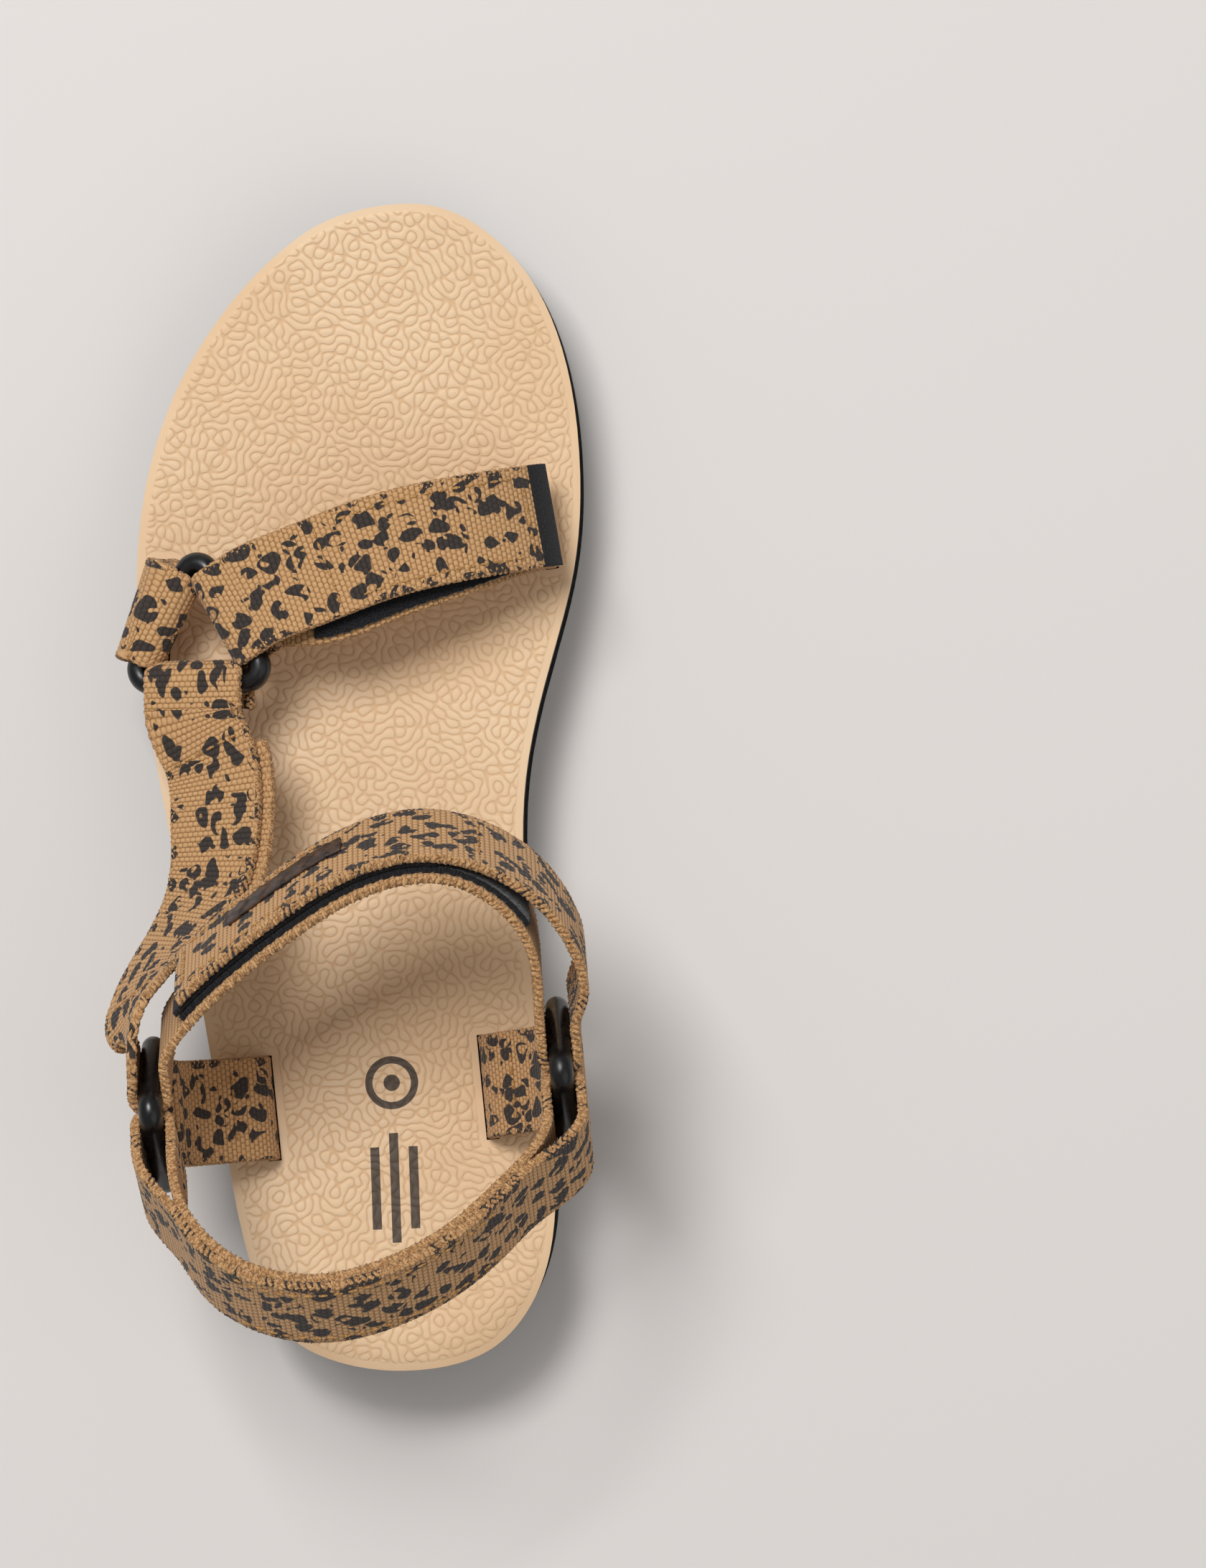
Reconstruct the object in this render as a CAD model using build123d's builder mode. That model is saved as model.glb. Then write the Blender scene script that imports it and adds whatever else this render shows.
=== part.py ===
"""A strappy sport sandal for a left foot, built layer by layer and strap by strap.

Millimetres. +Z is up, +Y points to the toes and +X to the inner (big toe) side. The origin is
on the ground under the middle of the sole.
"""

from build123d import *
from math import cos, radians, sin, tan
import os

# ---- overall size -------------------------------------------------------------------------
sole_length = 255.0
ball_width = 98.0

# ---- sole layers --------------------------------------------------------------------------
heel_height = 27.0
ball_height = 21.5
footbed_thick = 6.0
outsole_thick = 3.5
outsole_lip = 0.7
groove_depth = 2.0
groove_width = 3.0
groove_pitch = 13.0
groove_angle = 22.0
toe_spring = 6.0
heel_bevel = 2.2

# ---- webbing, tapes and rings ---------------------------------------------------------------
webbing_width = 22.0
webbing_thick = 1.8
sewn_gap = 0.2
turn_gap = 0.3
tape_width = 20.0
tape_thick = 1.1
tape_gap = 0.25
closing_gap = 0.45
hook_overhang = 3.0
ring_bar = 5.0
ring_side = 33.0
ring_corner = 3.0
ring_clearance = 0.25
corner_gap = 0.5
slot_gap = 0.5
slot_depth = 5.0
badge_length = 29.0
badge_width = 6.0
badge_thick = 1.0

# ---- where the rings stand --------------------------------------------------------------------
ankle_ring_height = 62.0
ankle_ring_turn = 5.0
toe_ring_height = 39.5
toe_ring_tilt = 20.0
toe_ring_turn = -1.0

# ---- worked out from the above --------------------------------------------------------------
along = sole_length / 255.0
across = ball_width / 98.0
ring_reach = ring_side * tan(radians(30)) / 2
leg = ring_bar / 2 + ring_clearance + webbing_thick / 2
layer = webbing_thick + sewn_gap
loop_offset = webbing_thick / 2 + tape_gap + tape_thick / 2
closed_pitch = 2 * loop_offset + tape_thick + closing_gap


def at(x, y, z):
    """A point of the sandal, stretched with its length and width."""
    return Vector(x * across, y * along, z)


# The ankle rings face each other, so one line through both is square to both.
medial_centre = at(37.3, -62.5, ankle_ring_height)
lateral_centre = at(-49.2, -68.0, ankle_ring_height)
toe_centre = at(-38.5, 33.4, toe_ring_height)
ring_line = (medial_centre - lateral_centre).normalized()
ring_span = (medial_centre - lateral_centre).length
forward = Vector(0, 0, 1).cross(ring_line)

medial_ring_plane = Plane(origin=medial_centre, x_dir=forward, z_dir=ring_line)
lateral_ring_plane = Plane(origin=lateral_centre, x_dir=forward, z_dir=ring_line)
toe_ring_plane = Plane(
    origin=toe_centre,
    x_dir=(cos(radians(toe_ring_tilt)), 0, sin(radians(toe_ring_tilt))),
    z_dir=(-sin(radians(toe_ring_tilt)), 0, cos(radians(toe_ring_tilt))),
)

instep_bar = 30.0 - ankle_ring_turn
heel_bar = 150.0 - ankle_ring_turn
anchor_bar = 270.0 - ankle_ring_turn
toe_bar = 30.0 + toe_ring_turn
toe_anchor_bar = 150.0 + toe_ring_turn
side_bar = 270.0 + toe_ring_turn


# ---- frames and lines --------------------------------------------------------------------------
def spoke(ring, angle):
    """The direction in a ring's plane at an angle from its x axis."""
    return ring.x_dir * cos(radians(angle)) + ring.y_dir * sin(radians(angle))


def bar_plane(ring, angle):
    """Square across a bar: x points away from the ring's middle, y along the ring's normal."""
    out = spoke(ring, angle)
    return Plane(
        origin=ring.origin + out * ring_reach, x_dir=out, z_dir=-spoke(ring, angle + 90)
    )


def spread_shares(first, last, count):
    """Evenly spaced shares of a line, both ends included."""
    return [first + (last - first) * i / (count - 1) for i in range(count)]


def beside(curve, share, distance):
    """The point at a share of a flat curve's length, moved to its left by a distance."""
    way = curve % share
    return curve @ share + Vector(-way.Y, way.X) * distance


def offset_line(curve, first, last, distance):
    """A spline that follows a flat curve at a distance from its left side."""
    return Spline(*[beside(curve, share, distance) for share in spread_shares(first, last, 25)])


# ---- sole -----------------------------------------------------------------------------------------
OUTLINE = [
    (12.0, 127.0), (21.0, 124.3), (28.0, 119.4), (36.0, 110.0), (42.5, 94.0), (45.3, 72.0), (43.4, 47.0),
    (36.5, 23.0), (31.0, 0.0), (30.0, -25.0), (32.2, -58.0), (34.5, -88.0), (30.0, -111.5),
    (20.0, -123.5), (3.5, -128.0), (-12.5, -126.2), (-25.0, -119.5), (-32.5, -104.5),
    (-37.2, -78.0), (-42.5, -40.0), (-48.5, -2.0), (-53.0, 40.0), (-50.5, 66.0),
    (-43.8, 86.0), (-32.0, 104.5), (-18.3, 118.0), (-9.7, 123.4), (1.5, 126.6),
]
TOP_LINE = [
    (-133.0, 0.6), (-100.0, 0.0), (-60.0, -0.3), (-20.0, -2.0), (20.0, -4.6), (60.0, -5.5),
    (100.0, -3.6), (133.0, 0.8),
]


outline = Spline(*[(x * across, y * along) for x, y in OUTLINE], periodic=True)


def plan_face(grow):
    """The sole's outline as a face, a little larger or the same."""
    with BuildSketch() as face:
        with BuildLine():
            if grow:
                Spline(*[beside(outline, i / 60, grow) for i in range(60)], periodic=True)
            else:
                add(outline)
        make_face()
    return face.sketch


def top_points(drop):
    """The footbed's top line in side view, lowered by a drop."""
    heel_share = (heel_height - ball_height) / 5.5
    return [(y * along, heel_height + z * heel_share - drop) for y, z in TOP_LINE]


def ground_line(lift):
    """The tread's line in side view: flat, with a rise at the heel and a longer one at the toe."""
    flat_heel = (-113.0 * along, lift)
    flat_toe = (58.0 * along, lift)
    TangentArc(flat_heel, (-133.0 * along, lift + heel_bevel), tangent=(-1, 0))
    Line(flat_heel, flat_toe)
    TangentArc(flat_toe, (133.0 * along, lift + toe_spring), tangent=(1, 0))


def between(lower, upper):
    """A slab across the sandal between two lines of its side view."""
    with BuildPart() as slab:
        with BuildSketch(Plane.YZ):
            with BuildLine():
                low = lower()
                high = upper()
                Line(low[0], high[0])
                Line(low[1], high[1])
            make_face()
        extrude(amount=ball_width, both=True)
    return slab.part


def top_edge(drop):
    points = top_points(drop)
    Spline(*points)
    return points[0], points[-1]


def ground_edge(lift):
    ground_line(lift)
    return (-133.0 * along, lift + heel_bevel), (133.0 * along, lift + toe_spring)


def sole_layer(grow, lower, upper):
    """One layer of the sole: a slab of the side view, cut to the outline."""
    with BuildPart() as sheet:
        add(between(lower, upper))
        with BuildSketch(Plane.XY.offset(-1)):
            add(plan_face(grow))
        extrude(amount=heel_height + 20, mode=Mode.INTERSECT)
    return sheet.part


TOE_SLOT = at(37.0, 57.7, 0)
TOE_SLOT_WAY = Vector(-0.14, 0.99, 0)
TOE_ANCHOR_SLOT = Vector(toe_centre.X - 9.1, toe_centre.Y + 6.6, 0)
TOE_ANCHOR_SLOT_WAY = Vector(0.09, 0.995, 0)
LATERAL_INWARD = -21.8 * across
MEDIAL_INWARD = -17.0 * across


def top_height(y):
    """The footbed's height above the ground at a distance along the sandal."""
    points = top_points(0)
    for (y0, z0), (y1, z1) in zip(points, points[1:]):
        if y0 <= y <= y1:
            return z0 + (z1 - z0) * (y - y0) / (y1 - y0)
    return heel_height


def anchor_plane(ring, outward):
    """Square across a ring's lower bar: x points down, y away from the foot."""
    frame = bar_plane(ring, anchor_bar)
    return Plane(origin=frame.origin, x_dir=frame.x_dir, z_dir=frame.z_dir * outward)


def anchor_drop(frame):
    """How far below the bar the footbed's top lies, along the anchor."""
    return (frame.origin.Z - top_height(frame.origin.Y)) / -frame.x_dir.Z


def slot_cut(start, way, down, layers, depth):
    """A slot from above the footbed for one or two layers of webbing."""
    spread = layers * webbing_thick + (layers - 1) * sewn_gap + 2 * slot_gap
    with BuildPart() as cut:
        with BuildSketch(Plane(origin=start - down * 6, x_dir=way, z_dir=down)):
            Rectangle(webbing_width + 2 * slot_gap, spread)
        extrude(amount=6 + depth)
    return cut.part


def slots(extra):
    """All four slots, down to the footbed's underside and a little further."""
    depth = footbed_thick + extra
    straight_down = Vector(0, 0, -1)
    toe = TOE_SLOT + Vector(0, 0, top_height(TOE_SLOT.Y))
    side = TOE_ANCHOR_SLOT + Vector(0, 0, top_height(TOE_ANCHOR_SLOT.Y))
    cuts = [
        slot_cut(toe, TOE_SLOT_WAY, straight_down, 1, depth),
        slot_cut(side, TOE_ANCHOR_SLOT_WAY, straight_down, 2, depth),
    ]
    for ring, outward, inward in (
        (lateral_ring_plane, -1, LATERAL_INWARD), (medial_ring_plane, 1, MEDIAL_INWARD),
    ):
        frame = anchor_plane(ring, outward)
        place = frame.origin + frame.x_dir * anchor_drop(frame) + frame.y_dir * inward
        cuts.append(slot_cut(place, frame.z_dir, frame.x_dir, 1, depth))
    return cuts


# ---- webbing --------------------------------------------------------------------------------------
def woven(plane, draw, width=webbing_width, thick=webbing_thick):
    """A strap of one width whose edge-on line is drawn on a plane square to the strap."""
    with BuildPart() as strap:
        with BuildSketch(plane) as edge_on:
            with BuildLine() as line:
                draw()
            trace(line.line, line_width=thick)
        extrude(amount=width / 2, both=True)
    return strap.part


def follow(plane, curve, first, last, lift, width, thick):
    """A strap or tape that keeps at a distance to the left of a flat curve."""
    with BuildPart() as strap:
        with BuildSketch(plane):
            with BuildLine():
                near = offset_line(curve, first, last, lift - thick / 2)
                far = offset_line(curve, first, last, lift + thick / 2)
                Line(near @ 0, far @ 0)
                Line(near @ 1, far @ 1)
            make_face()
        extrude(amount=width / 2, both=True)
    return strap.part


def path(stations, first_way, last_way):
    """A twisting strap's middle line and the stations on it."""
    route = Spline(*[centre for centre, _ in stations], tangents=(first_way, last_way))
    marks = [route.param_at_point(centre) for centre, _ in stations]
    return route, marks, [wide for _, wide in stations]


def station(strap_path, share):
    """The centre, width direction and heading of a twisting strap at a share of its route."""
    route, marks, widths = strap_path
    way = route % share
    wide = widths[-1]
    for low, high, before, after in zip(marks, marks[1:], widths, widths[1:]):
        if low <= share < high:
            wide = before + (after - before) * ((share - low) / (high - low))
            break
    wide = (wide - way * wide.dot(way)).normalized()
    return route @ share, wide, way


def ribbon(strap_path, shares, width=webbing_width, thick=webbing_thick, lift=0, aside=0, past=0):
    """A loft along a twisting strap; lift moves it off the upper face, aside along its width."""
    sections = []
    for share in shares:
        centre, wide, way = station(strap_path, share)
        moved = centre + way.cross(wide) * lift + wide * aside
        sections.append(Plane(origin=moved, x_dir=wide, z_dir=way))
    if past:
        end = sections[-1]
        sections.append(Plane(origin=end.origin + end.z_dir * past, x_dir=end.x_dir, z_dir=end.z_dir))
    with BuildPart() as strap:
        for section in sections:
            with BuildSketch(section):
                Rectangle(width, thick)
        loft()
    return strap.part


def turn(start, end):
    """Webbing round a bar: a leg on each side and half a circle in the ring's hole."""
    Line((start, leg), (0, leg))
    ThreePointArc((0, leg), (-leg, 0), (0, -leg))
    Line((0, -leg), (end, -leg))


def other_sectors(ring, angle):
    """The part of a ring's triangle that belongs to its other two bars, to cut a turn free."""
    far = 2.2 * ring_reach
    shift = Vector(cos(radians(angle)), sin(radians(angle))) * corner_gap / 2 / sin(radians(60))
    corners = []
    for turned, reach in ((0, 0), (60, far), (180, far), (-60, far)):
        heading = radians(angle + turned)
        corners.append(Vector(cos(heading), sin(heading)) * reach + shift)
    with BuildPart() as block:
        with BuildSketch(ring):
            Polygon(*[(corner.X, corner.Y) for corner in corners], align=None)
        extrude(amount=leg + webbing_thick, both=True)
    return block.part


def ring(plane, bar_angle):
    """A moulded triangular ring of round bar."""
    corners = []
    for turned in (60, 180, 300):
        heading = radians(bar_angle + turned)
        corners.append((2 * ring_reach * cos(heading), 2 * ring_reach * sin(heading)))
    with BuildPart() as loop:
        with BuildLine(plane) as bar:
            FilletPolyline(*corners, radius=ring_corner, close=True)
        with BuildSketch(Plane(origin=bar.line @ 0, z_dir=bar.line % 0)):
            Circle(ring_bar / 2)
        sweep()
    return loop.part


# ---- instep strap: one flat line, seen along both front bars ---------------------------------------
instep_plane = bar_plane(medial_ring_plane, instep_bar)
heel_plane = bar_plane(medial_ring_plane, heel_bar)
loop_leg = 6.0
turned_end = 1.5
badge_drop = 3.0
lining_shift = 2.0


def flat(x, y):
    """A point of an ankle strap's edge-on line, stretched with the sandal."""
    return Vector(x * along, y * ring_span / 86.7)


# The lower layer runs from its inner leg at the inner ring to its inner leg at the outer ring.
lower_line = Spline(
    (loop_leg + turn_gap, -leg), flat(15.5, -3.2), flat(28.5, -4.6), flat(37.5, -10.2),
    flat(43.5, -19.0), flat(44.6, -28.0), flat(41.8, -39.5), flat(34.8, -52.5),
    flat(24.0, -68.0), flat(14.0, -78.8), (loop_leg, leg - ring_span),
    tangents=((1, 0), (-1, 0)),
)
tape_end = 0.90
closed_from = 0.42
badge_middle = 0.73

# The upper layer is free near its ring, then lies at one pitch from the lower layer.
upper_line = Spline(
    (loop_leg + turn_gap, leg), flat(12.0, 5.6), flat(26.5, 4.4), flat(39.0, -3.4),
    *[beside(lower_line, share, closed_pitch) for share in spread_shares(closed_from, tape_end, 13)],
    tangents=((1, 0), lower_line % tape_end),
)
tab_end = 1 - hook_overhang / upper_line.length


# ---- heel strap: one flat line, seen along both rear bars ---------------------------------------------
heel_middle = Spline(
    flat(18.5, -9.4), flat(30.5, -22.5), flat(39.5, -39.5), flat(41.6, -56.0), flat(36.6, -69.5),
    flat(29.0, -77.6), flat(20.0, -82.4),
)


def heel_line(side):
    """One layer's line from the inner ring to the outer one; side is 1 outside, -1 inside."""
    sewn = [beside(heel_middle, share, side * layer / 2) for share in spread_shares(0, 1, 11)]
    first = (loop_leg + turn_gap, side * leg)
    last = (loop_leg + turn_gap, -side * leg - ring_span)
    return Spline(first, *sewn, last, tangents=((1, 0), (-1, 0)))


# ---- anchors --------------------------------------------------------------------------------------------
def anchor_rise(inward, top_drop):
    """The curved part of an anchor, from the footbed's top to beside the ring's lower bar."""
    return Spline(
        (top_drop - 1.0, inward), (top_drop / 2 + 1.0, (inward - leg) / 2), (2.0, -leg),
        tangents=((-1, 0), (-1, 0)),
    )


def anchor_return(rise):
    """The end that comes back over the bar and is sewn on the outside."""
    sewn = [beside(rise, share, -layer) for share in (0.56, 0.48, 0.4, 0.32)]
    return Spline((2.0, leg), (6.5, leg - 1.6), *sewn, tangents=((1, 0), -(rise % 0.32)))


# ---- the pieces ----------------------------------------------------------------------------
def make_footbed():
    with BuildPart() as footbed:
        add(sole_layer(0, lambda: top_edge(footbed_thick), lambda: top_edge(0)))
        for cut in slots(1):
            add(cut, mode=Mode.SUBTRACT)
    return footbed.part


def make_midsole():
    with BuildPart() as midsole:
        add(sole_layer(0, lambda: ground_edge(outsole_thick), lambda: top_edge(footbed_thick)))
        for cut in slots(slot_depth):
            add(cut, mode=Mode.SUBTRACT)
    return midsole.part


def chevron(middle):
    """One tread groove: a shallow V across the sole that points to the toes."""
    reach = ball_width * 0.7
    back = reach * tan(radians(groove_angle))
    half = groove_width / 2
    Polygon(
        (0, middle + half), (reach, middle + half - back), (reach, middle - half - back),
        (0, middle - half), (-reach, middle - half - back), (-reach, middle + half - back),
        align=None,
    )


def make_outsole():
    """The tread: chevron grooves stop at the depth of their own slab."""
    rows = int(sole_length / groove_pitch / 2) + 1
    blank = sole_layer(outsole_lip, lambda: ground_edge(0), lambda: ground_edge(outsole_thick))
    groove_slab = sole_layer(5, lambda: ground_edge(-5), lambda: ground_edge(groove_depth))
    with BuildPart() as grooves:
        with BuildSketch(Plane.XY.offset(-5)):
            for row in range(-rows, rows + 2):
                chevron((row + 0.5) * groove_pitch)
        extrude(amount=30)
        add(groove_slab, mode=Mode.INTERSECT)
    with BuildPart() as outsole:
        add(blank)
        add(grooves.part, mode=Mode.SUBTRACT)
    return outsole.part


def make_instep_strap():
    """The turned end and turn at the outer ring, and the lower layer over the instep."""

    def line():
        add(lower_line)
        Line(lower_line @ 1, (0, leg - ring_span))
        ThreePointArc((0, leg - ring_span), (-leg, -ring_span), (0, -leg - ring_span))
        Line((0, -leg - ring_span), (turned_end, -leg - ring_span))

    with BuildPart() as strap:
        add(woven(instep_plane, line))
        add(other_sectors(lateral_ring_plane, instep_bar), mode=Mode.SUBTRACT)
    return strap.part


def make_turn(ring_plane, angle, start, end):
    """A turn of webbing round one bar of a ring, on its own."""
    with BuildPart() as strap:
        add(woven(bar_plane(ring_plane, angle), lambda: turn(start, end)))
        add(other_sectors(ring_plane, angle), mode=Mode.SUBTRACT)
    return strap.part


def make_instep_tab():
    return follow(instep_plane, upper_line, 0, tab_end, 0, webbing_width, webbing_thick)


def make_instep_hook():
    """The hook tape: on the upper layer's inner face, and a little past its end."""
    return follow(instep_plane, upper_line, 0.45, 1, -loop_offset, tape_width, tape_thick)


def make_instep_loop():
    """The loop tape, on the lower layer's outer face."""
    return follow(instep_plane, lower_line, 0.2, tape_end, loop_offset, tape_width, tape_thick)


def make_badge():
    """A soft raised badge on the upper layer, below its middle."""
    half = badge_length / 2 / upper_line.length
    lift = (webbing_thick + badge_thick) / 2 + sewn_gap
    lowered = instep_plane.offset(badge_drop)
    return follow(
        lowered, upper_line, badge_middle - half, badge_middle + half, lift, badge_width, badge_thick
    )


def make_heel_layer(side):
    return woven(heel_plane, lambda: heel_line(side))


def make_ankle_anchor(ring_plane, outward, inward):
    """One anchor, from its pocket under the footbed to a ring's lower bar and back."""
    frame = anchor_plane(ring_plane, outward)
    top_drop = anchor_drop(frame)
    bottom = top_drop + footbed_thick + slot_depth - 1
    rise = anchor_rise(inward, top_drop)
    back = anchor_return(rise)
    with BuildPart() as strap:
        add(woven(frame, lambda: Line((bottom, inward), (top_drop - 1.0, inward))))
        add(woven(frame, lambda: add(rise)))
        add(woven(frame, lambda: turn(2.0, 2.0)))
        add(woven(frame, lambda: add(back)))
        add(other_sectors(ring_plane, anchor_bar), mode=Mode.SUBTRACT)
    return strap.part


# ---- forefoot straps: lofts, because they twist -----------------------------------------------------------
def bar_station(angle, side, reach):
    """A station on the toe ring: beside one of its bars, over (1) or under (-1) the ring."""
    frame = bar_plane(toe_ring_plane, angle)
    centre = frame.origin + frame.x_dir * reach + frame.y_dir * side * leg
    return centre, -frame.z_dir


def toe_strap_path():
    """The lower layer, from under the ring across the toes and down into its pocket."""
    top = top_height(TOE_SLOT.Y)
    bottom = top - footbed_thick - slot_depth + 1
    stations = [
        bar_station(toe_bar, -1, loop_leg + turn_gap),
        (at(-14.0, 42.0, ball_height + 22.6), Vector(-0.29, 0.95, -0.10)),
        (at(2.0, 46.6, ball_height + 24.4), Vector(-0.28, 0.96, -0.03)),
        (at(16.5, 51.2, ball_height + 22.2), Vector(-0.22, 0.975, 0.0)),
        (at(28.0, 55.2, ball_height + 15.4), Vector(-0.17, 0.985, 0.0)),
        (at(35.0, 57.2, ball_height + 7.0), TOE_SLOT_WAY),
        (TOE_SLOT + Vector(0, 0, top + 1), TOE_SLOT_WAY),
        (TOE_SLOT + Vector(0, 0, (bottom + top) / 2), TOE_SLOT_WAY),
        (TOE_SLOT + Vector(0, 0, bottom), TOE_SLOT_WAY),
    ]
    return path(stations, spoke(toe_ring_plane, toe_bar), Vector(0, 0, -1))


def toe_tab_path():
    """The upper layer, from over the ring to its end above the slot."""
    stations = [
        bar_station(toe_bar, 1, loop_leg + turn_gap),
        (at(-16.0, 45.2, ball_height + 28.0), Vector(-0.36, 0.925, -0.10)),
        (at(0.0, 50.6, ball_height + 29.8), Vector(-0.28, 0.96, -0.03)),
        (at(17.0, 54.4, ball_height + 27.4), Vector(-0.20, 0.98, 0.0)),
        (at(31.2, 56.6, ball_height + 19.8), Vector(-0.16, 0.985, 0.0)),
        (at(38.1, 57.6, ball_height + 11.6), TOE_SLOT_WAY),
    ]
    return path(stations, spoke(toe_ring_plane, toe_bar), Vector(0.42, 0.06, -0.9))


def side_strap_path():
    """The outer layer, from over the toe ring back and up to the outer ankle ring's front bar."""
    ring_end = bar_plane(lateral_ring_plane, instep_bar)
    last = ring_end.origin + ring_end.x_dir * (turned_end + turn_gap) - ring_end.y_dir * leg
    stations = [
        bar_station(side_bar, 1, loop_leg + turn_gap),
        (at(-36.8, 8.0, ball_height + 22.0), Vector(0.90, 0.05, 0.436)),
        (at(-35.6, -6.0, ball_height + 24.0), Vector(0.88, 0.09, 0.466)),
        (at(-37.5, -19.5, ball_height + 27.0), Vector(0.80, 0.03, 0.60)),
        (at(-44.6, -31.0, ball_height + 31.8), Vector(0.62, 0.05, 0.78)),
        (at(-51.8, -41.5, ball_height + 38.5), Vector(0.34, -0.05, 0.93)),
        (last + ring_end.x_dir * 5 + Vector(0, 0, -0.3), Vector(0.10, -0.30, 0.95)),
        (last, -ring_end.z_dir),
    ]
    return path(stations, spoke(toe_ring_plane, side_bar), -ring_end.x_dir)


def make_side_lining():
    """The inner layer of the side strap, sewn under the outer one a little towards the foot."""
    return ribbon(
        side_strap_path(), spread_shares(0.13, 0.62, 8), lift=-layer - 0.1, aside=lining_shift
    )


def toe_anchor_layer(side):
    """One layer of the forefoot anchor, from its pocket up over (1) or under (-1) the ring."""
    top = top_height(TOE_ANCHOR_SLOT.Y)
    bottom = top - footbed_thick - slot_depth + 1
    start, along_bar = bar_station(toe_anchor_bar, side, 2.0)
    foot = TOE_ANCHOR_SLOT - Vector(layer / 2 * side, 0, 0)
    stations = [
        (foot + Vector(0, 0, bottom), TOE_ANCHOR_SLOT_WAY),
        (foot + Vector(0, 0, (bottom + top) / 2), TOE_ANCHOR_SLOT_WAY),
        (foot + Vector(0, 0, top + 1.0), TOE_ANCHOR_SLOT_WAY),
        (foot + Vector(-3.5 * max(side, 0), 0, top + 8.0), Vector(0.28, 0.95, 0.15)),
        (start, -along_bar),
    ]
    layer_path = path(stations, Vector(0, 0, 1), -spoke(toe_ring_plane, toe_anchor_bar))
    return ribbon(layer_path, layer_path[1])


def make_toe_anchor():
    """Both layers of the forefoot anchor and the turn round the toe ring's outer bar."""
    layers = [toe_anchor_layer(1), toe_anchor_layer(-1)]
    with BuildPart() as strap:
        add(make_turn(toe_ring_plane, toe_anchor_bar, 2.0, 2.0))
        add(layers)
    return strap.part


# ---- build ----------------------------------------------------------------------------------
os.makedirs("parts", exist_ok=True)


def keep(name, part):
    """Label a piece and write it to its own file."""
    part.label = name
    export_step(part, f"parts/{name}.step")


keep("outsole", make_outsole())
keep("midsole", make_midsole())
keep("footbed", make_footbed())
keep("toe_ring", ring(toe_ring_plane, toe_bar))
keep("lateral_ring", ring(lateral_ring_plane, instep_bar))
keep("medial_ring", ring(medial_ring_plane, instep_bar))

toe_under = toe_strap_path()
toe_over = toe_tab_path()
keep("toe_anchor", make_toe_anchor())
keep("toe_strap", ribbon(toe_under, spread_shares(0, 1, 15)))
keep("toe_strap_turn", make_turn(toe_ring_plane, toe_bar, loop_leg, loop_leg))
keep("toe_tab", ribbon(toe_over, spread_shares(0, 1, 13)))
keep(
    "toe_loop_tape",
    ribbon(toe_under, spread_shares(0.14, 0.74, 10), tape_width, tape_thick, loop_offset),
)
keep(
    "toe_hook_tape",
    ribbon(
        toe_over, spread_shares(0.17, 1, 12), tape_width, tape_thick, -loop_offset, past=hook_overhang
    ),
)

keep("side_strap", ribbon(side_strap_path(), spread_shares(0, 1, 13)))
keep("side_strap_turn", make_turn(toe_ring_plane, side_bar, loop_leg, loop_leg))
keep("side_strap_lining", make_side_lining())

keep("instep_strap", make_instep_strap())
keep("instep_strap_turn", make_turn(medial_ring_plane, instep_bar, loop_leg, loop_leg))
keep("instep_tab", make_instep_tab())
keep("instep_loop_tape", make_instep_loop())
keep("instep_hook_tape", make_instep_hook())
keep("strap_badge", make_badge())

keep("heel_strap_outer", make_heel_layer(1))
keep("heel_strap_inner", make_heel_layer(-1))
keep("heel_turn_lateral", make_turn(lateral_ring_plane, heel_bar, loop_leg, loop_leg))
keep("heel_turn_medial", make_turn(medial_ring_plane, heel_bar, loop_leg, loop_leg))

keep("lateral_anchor", make_ankle_anchor(lateral_ring_plane, -1, LATERAL_INWARD))
keep("medial_anchor", make_ankle_anchor(medial_ring_plane, 1, MEDIAL_INWARD))
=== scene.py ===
"""A strappy sport sandal: webbing, tapes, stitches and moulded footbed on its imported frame."""

from math import cos, pi, radians, sin, sqrt, tan

import bmesh
import bpy
import numpy as np
from mathutils import Matrix, Vector
from mathutils.bvhtree import BVHTree


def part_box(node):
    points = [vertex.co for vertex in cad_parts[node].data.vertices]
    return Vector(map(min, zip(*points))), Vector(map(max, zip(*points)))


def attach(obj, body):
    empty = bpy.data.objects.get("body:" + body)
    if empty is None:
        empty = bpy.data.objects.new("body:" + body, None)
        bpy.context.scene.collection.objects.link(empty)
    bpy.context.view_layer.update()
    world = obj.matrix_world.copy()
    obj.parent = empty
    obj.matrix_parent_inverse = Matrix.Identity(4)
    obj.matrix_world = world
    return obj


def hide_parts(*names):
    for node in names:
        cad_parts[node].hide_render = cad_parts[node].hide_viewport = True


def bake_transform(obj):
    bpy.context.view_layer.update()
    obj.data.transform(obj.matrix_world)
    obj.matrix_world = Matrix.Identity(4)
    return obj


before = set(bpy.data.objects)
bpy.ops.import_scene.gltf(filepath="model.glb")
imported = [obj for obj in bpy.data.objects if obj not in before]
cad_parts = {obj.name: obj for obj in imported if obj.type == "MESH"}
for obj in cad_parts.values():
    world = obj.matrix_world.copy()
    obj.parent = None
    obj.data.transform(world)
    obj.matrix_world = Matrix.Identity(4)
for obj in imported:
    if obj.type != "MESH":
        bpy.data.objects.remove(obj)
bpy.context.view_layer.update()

bl_info = {
    "name": "Strappy sport sandal",
    "version": (1, 0, 0),
    "blender": (4, 5, 0),
    "location": "3D View > Sidebar > Sandal",
    "description": "Webbing, tapes, stitching and footbed of a sport sandal",
    "category": "Object",
}

MM = 0.001

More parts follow.
